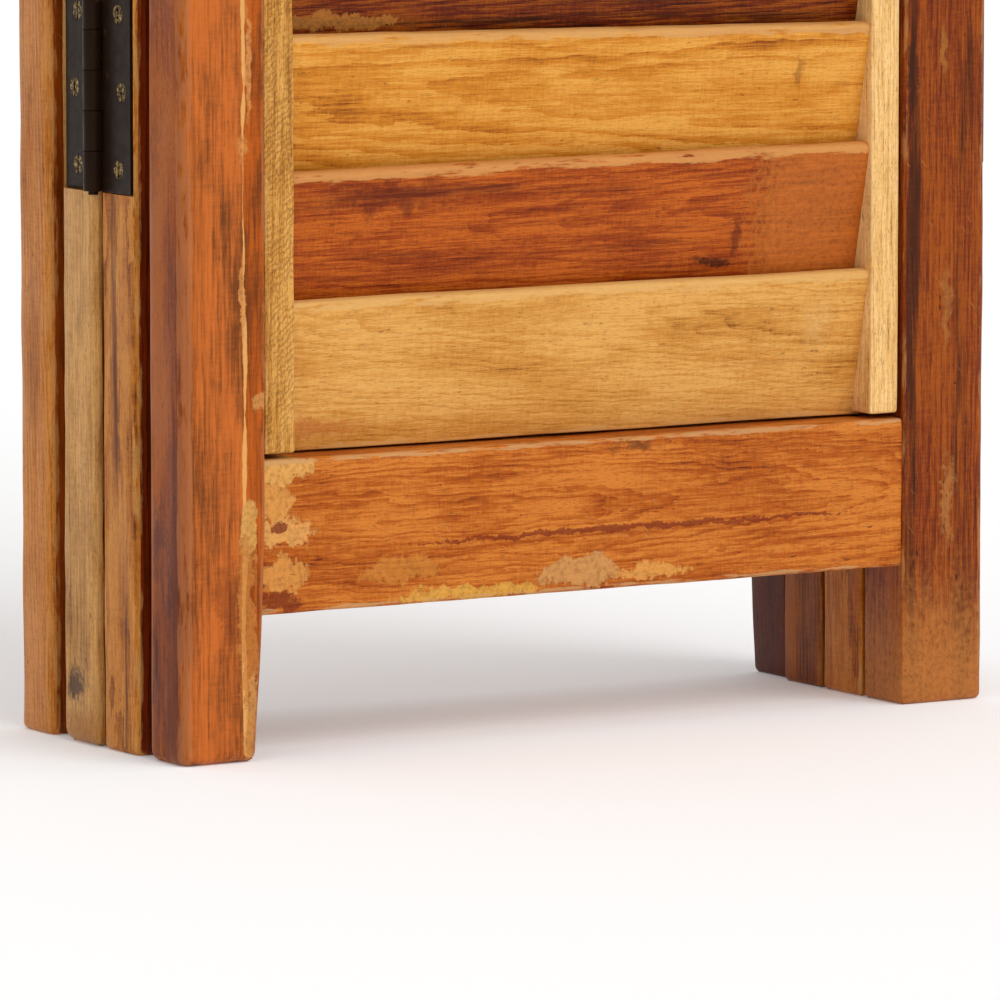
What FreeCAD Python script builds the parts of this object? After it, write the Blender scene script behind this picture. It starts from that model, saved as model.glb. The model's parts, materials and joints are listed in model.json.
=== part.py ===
import FreeCAD, Part
import math
import os

import Sketcher
from FreeCAD import Placement, Rotation, Vector

# A folding screen of four louvred wooden leaves, stored folded in a zigzag.
# Leaf 1 stands in front.  X runs along the leaves, Y towards the rear, Z up.  Every leaf is built
# in a frame of its own: x from its left edge, y from its front face, z from the floor.
# Leaves 1-2 and 3-4 are hinged on their right edges, leaves 2-3 on their left edges.

# ---------------------------------------------------------------- driving sizes (mm and degrees)
SIZES = {
    # leaf
    "leaf_width": 425.0,
    "leaf_height": 1700.0,
    "leaf_thickness": 32.0,
    # stiles: the uprights, whose lower ends are the legs
    "left_stile_width": 43.0,
    "right_stile_width": 46.0,
    "stile_edge_radius": 4.0,
    # rails and their tenons
    "leg_height": 63.5,
    "rail_height": 69.0,
    "rail_setback": 1.5,
    "tenon_thickness": 10.0,
    "tenon_length": 25.0,
    "tenon_shoulder": 12.0,
    "tenon_clearance": 0.1,
    "tenon_end_gap": 1.0,
    # slat strips: the grooved uprights that hold the slats' ends
    "strip_width": 16.5,
    "strip_setback": 2.5,
    "strip_back_setback": 3.0,
    "strip_end_gap": 2.0,
    "housing_depth": 6.0,
    # louvre slats, which lean forward at the top
    "slat_height": 67.5,
    "slat_pitch": 57.15,
    "slat_thickness": 8.0,
    "slat_edge_ease": 2.0,
    "slat_front_setback": 1.0,
    "slat_back_cover": 2.8,
    "slat_clearance": 0.2,
    "slat_end_clearance": 0.5,
    # butt hinges
    "hinge_length": 89.0,
    "lower_hinge_height": 291.5,
    "upper_hinge_drop": 200.0,
    "plate_thickness": 2.0,
    "plate_rim": 3.0,
    "hinge_mortise_clearance": 0.5,
    "knuckle_radius": 4.4,
    "knuckle_clearance": 0.2,
    "knuckle_end_gap": 0.3,
    "pin_radius": 2.2,
    "pin_clearance": 0.05,
    "pin_overhang": 1.5,
    # countersunk screws
    "screw_head_radius": 4.2,
    "screw_shank_radius": 2.0,
    "screw_length": 20.0,
    "screw_tip_length": 4.0,
    "screw_slot_width": 1.2,
    "screw_slot_depth": 0.9,
    "screw_clearance": 0.1,
    "pilot_end_gap": 1.0,
    "screw_edge_margin": 8.0,
    "screw_end_margin": 10.5,
    "middle_screw_offset": 3.0,
    # how the folded leaves stand: the gap where they are hinged, and how far each pair is open
    "fold_gap": 1.0,
    "front_pair_splay": 1.1,
    "middle_pair_splay": 0.1,
    "rear_pair_splay": 1.6,
}

LEAVES = (1, 2, 3, 4)
KNUCKLES = 5
HINGES_PER_LINE = 3
LEVELS = ("low", "mid", "high")
# Each hinge line: its name, the leaf in front of it, the edge it sits on, and the pair it joins.
HINGE_LINES = (
    ("1_2", 1, "right", "front"),
    ("2_3", 2, "left", "middle"),
    ("3_4", 3, "right", "rear"),
)

# ---------------------------------------------------------------- sizes that follow from others
LEFT = "Sizes.left_stile_width"
RIGHT = "Sizes.right_stile_width"
OPENING_FOOT = "(Sizes.leg_height + Sizes.rail_height)"
OPENING_HEIGHT = f"(Sizes.leaf_height - Sizes.rail_height - {OPENING_FOOT})"
OPENING_WIDTH = f"(Sizes.leaf_width - {LEFT} - {RIGHT})"
SLAT_TOP_Y = "(Sizes.strip_setback + Sizes.slat_front_setback)"
SLAT_LEAN = (f"(Sizes.leaf_thickness - Sizes.strip_back_setback - Sizes.slat_back_cover"
             f" - Sizes.slat_thickness - {SLAT_TOP_Y})")
SLAT_SIN = f"({SLAT_LEAN} / sqrt({SLAT_LEAN}^2 + Sizes.slat_height^2))"
SLAT_COS = f"(Sizes.slat_height / sqrt({SLAT_LEAN}^2 + Sizes.slat_height^2))"
# The row of slats fills the opening: it rises evenly from the lowest slat to the highest, in steps
# of at least the pitch, or of what keeps a slat's back clear of the front of the one above it.
SLAT_TALL = f"(Sizes.slat_height + Sizes.slat_thickness * {SLAT_SIN})"
SLAT_RISE = f"({OPENING_HEIGHT} - {SLAT_TALL} - 2 * Sizes.slat_clearance)"
SLAT_CLEAR_STEP = (f"(Sizes.slat_height / {SLAT_LEAN}"
                   f" * (Sizes.slat_thickness / {SLAT_COS} + Sizes.slat_clearance))")
SLAT_STEP = f"max(Sizes.slat_pitch; {SLAT_CLEAR_STEP})"
SLAT_COUNT = f"(floor({SLAT_RISE} / {SLAT_STEP}) + 1)"
HINGE_SPACING = (f"((Sizes.leaf_height - Sizes.upper_hinge_drop - Sizes.lower_hinge_height)"
                 f" / {HINGES_PER_LINE - 1})")
# The pin stands this far outside the leaf's edge, so that the barrel clears the mortise's floor.
PIN_OUTSET = "(Sizes.knuckle_radius + Sizes.knuckle_clearance - Sizes.plate_thickness)"
# The plate's free edge, measured from the pin.
PLATE_REACH = "(Sizes.leaf_thickness + Sizes.fold_gap / 2 - Sizes.plate_rim)"
KNUCKLE_PITCH = f"(Sizes.hinge_length / {KNUCKLES})"
KNUCKLE_SWEEP = "(Sizes.knuckle_radius + Sizes.knuckle_clearance)"

doc = FreeCAD.newDocument("FoldingScreen")
sheet = doc.addObject("Spreadsheet::Sheet", "Sizes")
for row, (alias, number) in enumerate(SIZES.items(), start=1):
    sheet.set(f"A{row}", alias)
    sheet.set(f"B{row}", str(number))
    sheet.setAlias(f"B{row}", alias)
doc.recompute()


def value(expression):
    """The number that an expression of the sheet's sizes gives now."""
    return float(sheet.evalExpression(expression))


# ---------------------------------------------------------------- helpers
def origin_feature(body, role):
    """A body's own origin plane or axis."""
    return next(item for item in body.Origin.OriginFeatures if item.Role == role)


def new_body(name):
    """An empty body, which may end as several separate solids."""
    body = doc.addObject("PartDesign::Body", name)
    body.AllowCompound = True
    return body


def new_sketch(body, role, name, offset=None):
    """A sketch on an origin plane of its body, moved along the plane's normal by an expression."""
    sketch = body.newObject("Sketcher::SketchObject", name)
    sketch.AttachmentSupport = [(origin_feature(body, role), "")]
    sketch.MapMode = "FlatFace"
    if offset:
        sketch.setExpression("AttachmentOffset.Base.z", offset)
    return sketch


def pin_coordinate(sketch, kind, geometry, point, expression):
    """Hold one coordinate of a sketch point at an expression, or on the axis where it is 0."""
    if expression == "0":
        axis = -2 if kind == "DistanceX" else -1
        sketch.addConstraint(Sketcher.Constraint("PointOnObject", geometry, point, axis))
        return
    constraint = Sketcher.Constraint(kind, -1, 1, geometry, point, value(expression))
    index = sketch.addConstraint(constraint)
    sketch.setExpression(f"Constraints[{index}]", expression)


def add_polygon(sketch, corners):
    """A closed outline whose corners are pairs of expressions."""
    first = sketch.GeometryCount
    spots = [Vector(value(across), value(along), 0) for across, along in corners]
    count = len(corners)
    for index, spot in enumerate(spots):
        sketch.addGeometry(Part.LineSegment(spot, spots[(index + 1) % count]), False)
    for index in range(count):
        following = first + (index + 1) % count
        sketch.addConstraint(Sketcher.Constraint("Coincident", first + index, 2, following, 1))
    for index, (across, along) in enumerate(corners):
        pin_coordinate(sketch, "DistanceX", first + index, 1, across)
        pin_coordinate(sketch, "DistanceY", first + index, 1, along)


def add_rectangle(sketch, low_x, low_y, high_x, high_y):
    """An upright rectangle between two opposite corners."""
    add_polygon(sketch, [(low_x, low_y), (high_x, low_y), (high_x, high_y), (low_x, high_y)])


def add_circle(sketch, centre_x, centre_y, radius):
    """A circle with its centre and radius held at expressions."""
    centre = Vector(value(centre_x), value(centre_y), 0)
    circle = Part.Circle(centre, Vector(0, 0, 1), value(radius))
    geometry = sketch.addGeometry(circle, False)
    pin_coordinate(sketch, "DistanceX", geometry, 3, centre_x)
    pin_coordinate(sketch, "DistanceY", geometry, 3, centre_y)
    index = sketch.addConstraint(Sketcher.Constraint("Radius", geometry, value(radius)))
    sketch.setExpression(f"Constraints[{index}]", radius)


def pad(body, sketch, name, length, midplane=False):
    """Add material along the sketch's normal."""
    feature = body.newObject("PartDesign::Pad", name)
    feature.Profile = sketch
    feature.setExpression("Length", length)
    feature.Midplane = midplane
    doc.recompute()
    return feature


def pocket(body, sketch, name, depth, forward=False, taper=0.0):
    """Cut material away against the sketch's normal, or along it, and see that the cut is real."""
    before = body.Shape.Volume
    feature = body.newObject("PartDesign::Pocket", name)
    feature.Profile = sketch
    feature.setExpression("Length", depth)
    feature.Reversed = forward
    feature.TaperAngle = taper
    doc.recompute()
    if not body.Shape.Volume < before:
        raise RuntimeError(f"{body.Name}: {name} removed nothing")
    return feature


def repeat_up(body, originals, name, length, count):
    """Repeat features along the body's Z axis."""
    feature = body.newObject("PartDesign::LinearPattern", name)
    feature.Originals = originals
    feature.Direction = (origin_feature(body, "Z_Axis"), [""])
    feature.setExpression("Length", length)
    feature.setExpression("Occurrences", str(count))
    body.Tip = feature
    doc.recompute()
    return feature


def moved(x=0.0, y=0.0, z=0.0, turn=0.0):
    """A placement: a turn about the upright axis, then a shift."""
    return Placement(Vector(x, y, z), Rotation(Vector(0, 0, 1), turn))


# ---------------------------------------------------------------- the wooden pieces of a leaf
def build_stile(name, width, hinge_side):
    """An upright, in a frame with x from its outer edge inwards.

    hinge_side is None, or says which face the hinges open from: "low" at y = 0, "high" at the
    full thickness.  A right stile is this piece turned half round, so its faces change places.
    """
    body = new_body(name)
    section = new_sketch(body, "XY_Plane", f"{name}_section")
    add_rectangle(section, "0", "0", width, "Sizes.leaf_thickness")
    post = pad(body, section, f"{name}_post", "Sizes.leaf_height")
    corners = [f"Edge{index}" for index, edge in enumerate(post.Shape.Edges, start=1)
               if edge.BoundBox.ZLength > value(width) and edge.BoundBox.XMax < value(width) / 2]
    rounding = body.newObject("PartDesign::Fillet", f"{name}_rounding")
    rounding.Base = (post, corners)
    rounding.setExpression("Radius", "Sizes.stile_edge_radius")
    doc.recompute()

    tenon_low_y = "((Sizes.leaf_thickness - Sizes.tenon_thickness) / 2 - Sizes.tenon_clearance)"
    tenon_high_y = "((Sizes.leaf_thickness + Sizes.tenon_thickness) / 2 + Sizes.tenon_clearance)"
    mortises = new_sketch(body, "YZ_Plane", f"{name}_mortise_outline", width)
    for foot in ("Sizes.leg_height", "(Sizes.leaf_height - Sizes.rail_height)"):
        add_rectangle(
            mortises, tenon_low_y, f"{foot} + Sizes.tenon_shoulder - Sizes.tenon_clearance",
            tenon_high_y,
            f"{foot} + Sizes.rail_height - Sizes.tenon_shoulder + Sizes.tenon_clearance")
    pocket(body, mortises, f"{name}_mortises", "Sizes.tenon_length + Sizes.tenon_end_gap")
    if hinge_side:
        cut_hinge_seats(body, name, hinge_side)
    return body


def cut_hinge_seats(body, name, hinge_side):
    """Let the hinges' plates into the outer edge, with pilot holes for the screws."""
    low = hinge_side == "low"
    open_edge = "-Sizes.fold_gap" if low else "Sizes.leaf_thickness + Sizes.fold_gap"
    free_edge = "Sizes.leaf_thickness - Sizes.plate_rim" if low else "Sizes.plate_rim"
    towards_knuckle = "-" if low else "+"
    clear_edge = f"({free_edge}) {'+' if low else '-'} Sizes.screw_clearance"
    reach = "(Sizes.hinge_length / 2 + Sizes.hinge_mortise_clearance)"
    low_y, high_y = (open_edge, clear_edge) if low else (clear_edge, open_edge)
    seats = new_sketch(body, "YZ_Plane", f"{name}_seat_outline")
    holes = new_sketch(body, "YZ_Plane", f"{name}_pilot_outline")
    for level in range(HINGES_PER_LINE):
        middle = f"(Sizes.lower_hinge_height + {level} * {HINGE_SPACING})"
        add_rectangle(seats, low_y, f"{middle} - {reach}", high_y, f"{middle} + {reach}")
        for across, along in screw_spots():
            y = f"({free_edge}) {towards_knuckle} {across}"
            add_circle(holes, y, f"{middle} + {along}",
                       "Sizes.screw_shank_radius + Sizes.screw_clearance")
    pocket(body, seats, f"{name}_seats", "Sizes.plate_thickness", forward=True)
    pocket(body, holes, f"{name}_pilots",
           "Sizes.plate_thickness + Sizes.screw_length + Sizes.pilot_end_gap", forward=True)


def screw_spots():
    """Each screw of a plate: its distance in from the plate's free edge, and up from the middle."""
    row = "(Sizes.hinge_length / 2 - Sizes.screw_end_margin)"
    outer = "(Sizes.screw_edge_margin + Sizes.middle_screw_offset)"
    return [(outer, f"(-{row})"), ("Sizes.screw_edge_margin", "(0 * Sizes.hinge_length)"),
            (outer, row)]


def build_rail():
    """A rail with a tenon at each end, standing at z = 0."""
    body = new_body("Rail")
    board = new_sketch(body, "YZ_Plane", "RailSection", LEFT)
    add_rectangle(board, "Sizes.rail_setback", "0",
                  "Sizes.leaf_thickness - Sizes.rail_setback", "Sizes.rail_height")
    pad(body, board, "RailBoard", OPENING_WIDTH)
    tenons = new_sketch(body, "YZ_Plane", "TenonSection", f"{LEFT} - Sizes.tenon_length")
    add_rectangle(tenons, "(Sizes.leaf_thickness - Sizes.tenon_thickness) / 2",
                  "Sizes.tenon_shoulder", "(Sizes.leaf_thickness + Sizes.tenon_thickness) / 2",
                  "Sizes.rail_height - Sizes.tenon_shoulder")
    pad(body, tenons, "RailTenons", f"{OPENING_WIDTH} + 2 * Sizes.tenon_length")
    return body


def slat_point(along, across):
    """A point of the slat's section, up its face and back through it, from its lower front edge."""
    y = f"{SLAT_TOP_Y} + {SLAT_LEAN} - ({along}) * {SLAT_SIN} + ({across}) * {SLAT_COS}"
    z = f"Sizes.slat_clearance + ({along}) * {SLAT_COS} + ({across}) * {SLAT_SIN}"
    return y, z


def build_slats():
    """All the slats of a leaf, with the opening's foot at z = 0."""
    body = new_body("Slats")
    start = f"{LEFT} + Sizes.strip_width - Sizes.housing_depth + Sizes.slat_end_clearance"
    length = (f"{OPENING_WIDTH} - 2 * (Sizes.strip_width - Sizes.housing_depth"
              f" + Sizes.slat_end_clearance)")
    section = new_sketch(body, "YZ_Plane", "SlatSection", start)
    top = f"Sizes.slat_height / {SLAT_COS}"
    add_polygon(section, [
        slat_point("0", "0"),
        slat_point("0", "Sizes.slat_thickness"),
        slat_point(top, "Sizes.slat_thickness"),
        slat_point(top, "Sizes.slat_edge_ease"),
        slat_point(f"{top} - Sizes.slat_edge_ease", "0"),
    ])
    slat = pad(body, section, "Slat", length)
    repeat_up(body, [slat], "SlatRow", SLAT_RISE, SLAT_COUNT)
    return body


def build_strip(name, inner_face, start, forward):
    """A slat strip with a leaning housing for each slat, with the opening's foot at z = 0."""
    body = new_body(name)
    section = new_sketch(body, "YZ_Plane", f"{name}Section", start)
    add_rectangle(section, "Sizes.strip_setback", "Sizes.strip_end_gap",
                  "Sizes.leaf_thickness - Sizes.strip_back_setback",
                  f"{OPENING_HEIGHT} - Sizes.strip_end_gap")
    pad(body, section, f"{name}Board", "Sizes.strip_width")
    outline = new_sketch(body, "YZ_Plane", f"{name}HousingOutline", inner_face)
    top = f"Sizes.slat_height / {SLAT_COS} + Sizes.slat_clearance"
    back = "Sizes.slat_thickness + Sizes.slat_clearance"
    add_polygon(outline, [
        slat_point("-Sizes.slat_clearance", "-Sizes.slat_clearance"),
        slat_point("-Sizes.slat_clearance", back),
        slat_point(top, back),
        slat_point(top, "-Sizes.slat_clearance"),
    ])
    housing = pocket(body, outline, f"{name}Housing", "Sizes.housing_depth", forward=forward)
    repeat_up(body, [housing], f"{name}Housings", SLAT_RISE, SLAT_COUNT)
    return body


# ---------------------------------------------------------------- hinge pieces
# In a hinge's own frame the pin stands at the origin, the wood is on the +X side, and the middle of
# its length is at z = 0.  side is -1 for the plate that reaches towards -Y, +1 for the other.
def build_plate(name, side, first_knuckle, knuckles):
    """A hinge plate with its own knuckles, bored for the pin and countersunk for its screws."""
    body = new_body(name)
    face = PIN_OUTSET
    back = f"{PIN_OUTSET} + Sizes.plate_thickness"
    near = f"{side} * {KNUCKLE_SWEEP}"
    far = f"{side} * {PLATE_REACH}"
    low_y, high_y = (far, near) if side < 0 else (near, far)
    sheet_outline = new_sketch(body, "XY_Plane", f"{name}SheetOutline")
    add_rectangle(sheet_outline, face, low_y, back, high_y)
    pad(body, sheet_outline, f"{name}Sheet", "Sizes.hinge_length", midplane=True)

    foot = (f"-Sizes.hinge_length / 2 + {first_knuckle} * {KNUCKLE_PITCH}"
            f" + Sizes.knuckle_end_gap / 2")
    length = f"{KNUCKLE_PITCH} - Sizes.knuckle_end_gap"
    tongue_outline = new_sketch(body, "XY_Plane", f"{name}TongueOutline", foot)
    inner = f"{side} * ({KNUCKLE_SWEEP} + Sizes.plate_thickness)"
    low_y, high_y = (inner, "0") if side < 0 else ("0", inner)
    add_rectangle(tongue_outline, face, low_y, back, high_y)
    tongue = pad(body, tongue_outline, f"{name}Tongue", length)
    barrel_outline = new_sketch(body, "XY_Plane", f"{name}BarrelOutline", foot)
    add_circle(barrel_outline, "0", "0", "Sizes.knuckle_radius")
    barrel = pad(body, barrel_outline, f"{name}Barrel", length)
    repeat_up(body, [tongue, barrel], f"{name}Knuckles",
              f"{2 * (knuckles - 1)} * {KNUCKLE_PITCH}", knuckles)

    bore_outline = new_sketch(body, "XY_Plane", f"{name}BoreOutline", "Sizes.hinge_length")
    add_circle(bore_outline, "0", "0", "Sizes.pin_radius + Sizes.pin_clearance")
    pocket(body, bore_outline, f"{name}Bore", "2 * Sizes.hinge_length")
    sink_outline = new_sketch(body, "YZ_Plane", f"{name}SinkOutline", face)
    for across, along in screw_spots():
        add_circle(sink_outline, f"{side} * ({PLATE_REACH} - {across})", along,
                   "Sizes.screw_head_radius + Sizes.screw_clearance")
    taper = math.degrees(math.atan(
        value("(Sizes.screw_head_radius - Sizes.screw_shank_radius) / Sizes.plate_thickness")))
    pocket(body, sink_outline, f"{name}Sinks", "Sizes.plate_thickness", forward=True, taper=-taper)
    return body


def build_pins():
    """The hinge pins of one line, the lowest with its middle at z = 0."""
    body = new_body("HingePins")
    outline = new_sketch(body, "XY_Plane", "PinOutline",
                         "-Sizes.hinge_length / 2 - Sizes.pin_overhang")
    add_circle(outline, "0", "0", "Sizes.pin_radius")
    pin = pad(body, outline, "Pin", "Sizes.hinge_length + 2 * Sizes.pin_overhang")
    repeat_up(body, [pin], "PinRow", f"{HINGES_PER_LINE - 1} * {HINGE_SPACING}", HINGES_PER_LINE)
    return body


def build_screw():
    """A countersunk screw along +X, its head's face at x = 0."""
    body = new_body("Screw")
    neck = "Sizes.plate_thickness"
    tip = "Sizes.plate_thickness + Sizes.screw_length"
    outline = new_sketch(body, "XY_Plane", "ScrewOutline")
    add_polygon(outline, [
        ("0", "0"),
        (tip, "0"),
        (f"{tip} - Sizes.screw_tip_length", "Sizes.screw_shank_radius"),
        (neck, "Sizes.screw_shank_radius"),
        ("0", "Sizes.screw_head_radius"),
    ])
    turned = body.newObject("PartDesign::Revolution", "ScrewTurned")
    turned.Profile = outline
    turned.ReferenceAxis = (origin_feature(body, "X_Axis"), [""])
    turned.Angle = 360
    doc.recompute()
    slot = new_sketch(body, "YZ_Plane", "ScrewSlotOutline")
    add_rectangle(slot, "-Sizes.screw_slot_width / 2", "-Sizes.screw_head_radius",
                  "Sizes.screw_slot_width / 2", "Sizes.screw_head_radius")
    pocket(body, slot, "ScrewSlot", "Sizes.screw_slot_depth", forward=True)
    return body


def build_screw_row(name, screw, side):
    """The screws of one hinge line's plates on one leaf, the lowest hinge's middle at z = 0."""
    links = []
    for level in range(HINGES_PER_LINE):
        for spot, (across, along) in enumerate(screw_spots()):
            link = doc.addObject("App::Link", f"{name}{level}{spot}")
            link.LinkedObject = screw
            link.setExpression("Placement.Base.x", PIN_OUTSET)
            link.setExpression("Placement.Base.y", f"{side} * ({PLATE_REACH} - {across})")
            link.setExpression("Placement.Base.z", f"{along} + {level} * {HINGE_SPACING}")
            links.append(link)
    row = doc.addObject("Part::Compound", name)
    row.Links = links
    doc.recompute()
    return row


# ---------------------------------------------------------------- where the leaves stand
def pin_in_leaf(edge, face):
    """A hinge pin's place in a leaf's own frame: face is "rear" or "front"."""
    outset = value(PIN_OUTSET)
    half_gap = value("Sizes.fold_gap") / 2
    x = value("Sizes.leaf_width") + outset if edge == "right" else -outset
    y = value("Sizes.leaf_thickness") + half_gap if face == "rear" else -half_gap
    return Vector(x, y, 0)


def leaf_frames():
    """Every leaf's placement in the folded screen, centred on its own footprint."""
    frames = {1: Placement()}
    for _, front_leaf, edge, pair in HINGE_LINES:
        splay = value(f"Sizes.{pair}_pair_splay")
        turn = splay if edge == "left" else -splay
        hinge = frames[front_leaf].multiply(Placement(pin_in_leaf(edge, "rear"), Rotation()))
        back = Placement(-pin_in_leaf(edge, "front"), Rotation())
        frames[front_leaf + 1] = hinge.multiply(moved(turn=turn)).multiply(back)
    left_pin = frames[2].multVec(pin_in_leaf("left", "rear"))
    right_pin = frames[1].multVec(pin_in_leaf("right", "rear"))
    far_pin = frames[3].multVec(pin_in_leaf("right", "rear"))
    middle_x = (left_pin.x + max(right_pin.x, far_pin.x)) / 2
    rear = value("Sizes.leaf_thickness")
    radius = value("Sizes.stile_edge_radius")
    corner = frames[4].multVec(Vector(radius, rear - radius, 0))
    middle_y = (corner.y + radius) / 2
    centring = Placement(Vector(-middle_x, -middle_y, 0), Rotation())
    return {leaf: centring.multiply(frame) for leaf, frame in frames.items()}


def stand_in(label, source, placement):
    """A named piece of the screen: a shared design, standing at its own place."""
    node = doc.addObject("Part::Compound", label)
    node.Label = label
    node.Links = [source]
    node.Placement = placement
    return node


# ---------------------------------------------------------------- the screen
frames = leaf_frames()
nodes = {}

rail = build_rail()
slats = build_slats()
strips = {
    "left": build_strip("LeftStrip", f"{LEFT} + Sizes.strip_width", LEFT, False),
    "right": build_strip("RightStrip", f"{LEFT} + {OPENING_WIDTH} - Sizes.strip_width",
                         f"{LEFT} + {OPENING_WIDTH} - Sizes.strip_width", True),
}
hinge_side = {(leaf, edge): None for leaf in LEAVES for edge in ("left", "right")}
for _, front_leaf, edge, _ in HINGE_LINES:
    # A right stile is turned half round, so the face towards the rear is its own low face.
    hinge_side[(front_leaf, edge)] = "low" if edge == "right" else "high"
    hinge_side[(front_leaf + 1, edge)] = "high" if edge == "right" else "low"

for leaf in LEAVES:
    frame = frames[leaf]
    turned_round = moved(value("Sizes.leaf_width"), value("Sizes.leaf_thickness"), turn=180.0)
    for edge, width in (("left", LEFT), ("right", RIGHT)):
        label = f"leaf_{leaf}_{edge}_stile"
        stile = build_stile(label, width, hinge_side[(leaf, edge)])
        stile.Label = label
        stile.Placement = frame.multiply(turned_round) if edge == "right" else frame
        nodes[label] = stile
    for level, foot in (("bottom", "Sizes.leg_height"),
                        ("top", "Sizes.leaf_height - Sizes.rail_height")):
        label = f"leaf_{leaf}_{level}_rail"
        nodes[label] = stand_in(label, rail, frame.multiply(moved(z=value(foot))))
    above_rail = frame.multiply(moved(z=value(OPENING_FOOT)))
    for edge in ("left", "right"):
        label = f"leaf_{leaf}_{edge}_slat_strip"
        nodes[label] = stand_in(label, strips[edge], above_rail)
    label = f"leaf_{leaf}_slats"
    nodes[label] = stand_in(label, slats, above_rail)

# The plate with the outer knuckles reaches towards -Y in the hinge's frame, the other towards +Y.
# A hinge on a right edge is turned half round, which swaps the leaves that they lie on.
outer_knuckles = (KNUCKLES + 1) // 2
plates = {
    -1: build_plate("OuterPlate", -1, 0, outer_knuckles),
    1: build_plate("InnerPlate", 1, 1, KNUCKLES - outer_knuckles),
}
pins = build_pins()
screw = build_screw()
screw_rows = {side: build_screw_row(f"ScrewRow{'Outer' if side < 0 else 'Inner'}", screw, side)
              for side in (-1, 1)}

for line, front_leaf, edge, _ in HINGE_LINES:
    turn = 180.0 if edge == "right" else 0.0
    for leaf, face, reach in ((front_leaf, "rear", -1), (front_leaf + 1, "front", 1)):
        side = -reach if edge == "right" else reach
        where = "front" if leaf == front_leaf else "rear"
        pin = pin_in_leaf(edge, face)
        for level, level_name in enumerate(LEVELS):
            height = value(f"Sizes.lower_hinge_height + {level} * {HINGE_SPACING}")
            label = f"hinge_{line}_{level_name}_{where}_plate"
            place = frames[leaf].multiply(moved(pin.x, pin.y, height, turn))
            nodes[label] = stand_in(label, plates[side], place)
        lowest = frames[leaf].multiply(
            moved(pin.x, pin.y, value("Sizes.lower_hinge_height"), turn))
        label = f"hinge_{line}_{where}_screws"
        nodes[label] = stand_in(label, screw_rows[side], lowest)
        if side < 0:
            label = f"hinge_{line}_pins"
            nodes[label] = stand_in(label, pins, lowest)
doc.recompute()

# ---------------------------------------------------------------- checks and export
slat_count = round(value(SLAT_COUNT))
screws_per_row = HINGES_PER_LINE * len(screw_spots())
for item in doc.Objects:
    if "Invalid" in item.State or "Error" in item.State:
        raise RuntimeError(f"{item.Name} failed: {item.State}")
os.makedirs("parts", exist_ok=True)
for label, node in nodes.items():
    shape = node.Shape
    if shape.isNull() or not shape.isValid():
        raise RuntimeError(f"{label} has no valid shape")
    expected = 1
    if label.endswith("_slats"):
        expected = slat_count
    elif label.endswith("_screws"):
        expected = screws_per_row
    elif label.endswith("_pins"):
        expected = HINGES_PER_LINE
    if len(shape.Solids) != expected:
        raise RuntimeError(f"{label} has {len(shape.Solids)} solids, not {expected}")
for label, node in nodes.items():
    node.Shape.exportStep(os.path.join("parts", f"{label}.step"))
print(f"{len(nodes)} nodes, {slat_count} slats a leaf")
for leaf, frame in frames.items():
    for edge in ("left", "right"):
        for face in ("front", "rear"):
            spot = frame.multVec(pin_in_leaf(edge, face))
            print(f"leaf {leaf} {edge} {face} pin at {spot.x:.4f}, {spot.y:.4f}")
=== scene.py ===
"""The finished look of a folding screen: four louvred leaves of old hardwood on iron hinges.

Every wooden piece is a timber bar: a rounded loop carried along a straight axis, worked out as
whole arrays, with its grain, its pith and its worn arrises stored on the points. The hinges keep
their designed shape, with softened edges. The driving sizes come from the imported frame, in metres.
"""

import json
import logging
import math
from dataclasses import dataclass, field
from enum import Enum
from typing import Any, Sequence

import bpy
import numpy as np
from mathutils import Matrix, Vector


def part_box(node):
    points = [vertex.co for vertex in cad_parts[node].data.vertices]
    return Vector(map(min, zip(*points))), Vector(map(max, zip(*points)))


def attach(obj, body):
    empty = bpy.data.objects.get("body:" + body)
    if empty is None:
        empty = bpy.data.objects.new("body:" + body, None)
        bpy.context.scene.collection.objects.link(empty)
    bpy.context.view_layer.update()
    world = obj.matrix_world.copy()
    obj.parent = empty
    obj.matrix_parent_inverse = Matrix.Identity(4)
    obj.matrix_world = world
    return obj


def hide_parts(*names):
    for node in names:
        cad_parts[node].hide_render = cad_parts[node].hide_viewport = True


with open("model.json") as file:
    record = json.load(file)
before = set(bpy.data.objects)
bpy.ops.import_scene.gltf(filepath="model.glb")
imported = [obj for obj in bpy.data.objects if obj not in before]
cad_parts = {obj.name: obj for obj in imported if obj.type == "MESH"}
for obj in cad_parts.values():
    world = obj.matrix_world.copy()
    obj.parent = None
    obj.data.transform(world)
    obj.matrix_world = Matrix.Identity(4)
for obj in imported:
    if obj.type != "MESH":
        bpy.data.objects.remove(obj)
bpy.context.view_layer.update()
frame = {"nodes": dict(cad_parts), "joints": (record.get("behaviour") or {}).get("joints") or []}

LOG = logging.getLogger("folding_screen")
MM = 0.001
LEAF_STEP = 10.0
LEAVES = (1, 2, 3, 4)
LEVELS = ("low", "mid", "high")

Colour = tuple[float, float, float, float]
Triple = tuple[float, float, float]
LACQUER_HAZE = 0.02
LEAST_SHARE = 0.15
HALF = (0.5, 0.5, 0.5)
WHITE = (1.0, 1.0, 1.0, 1.0)


def paint(red: int, green: int, blue: int) -> Colour:
    """The colour under the lacquer, for one as a paint chart gives it, 0 to 255.

    It is turned into linear light, and the haze that the lacquer adds is taken off.

    Args:
        red: Red share, 0 to 255.
        green: Green share, 0 to 255.
        blue: Blue share, 0 to 255.

    Returns:
        The linear colour with full opacity.
    """
    shares = [share / 255 for share in (red, green, blue)]
    linear = [s / 12.92 if s <= 0.04045 else ((s + 0.055) / 1.055) ** 2.4 for s in shares]
    return (*(max(part - LACQUER_HAZE, LEAST_SHARE * part) for part in linear), 1.0)


def toned(colour: Colour, by: float) -> Colour:
    """The colour with each share times a number, at most 1."""
    return (*(min(part * by, 1.0) for part in colour[:3]), 1.0)


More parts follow.
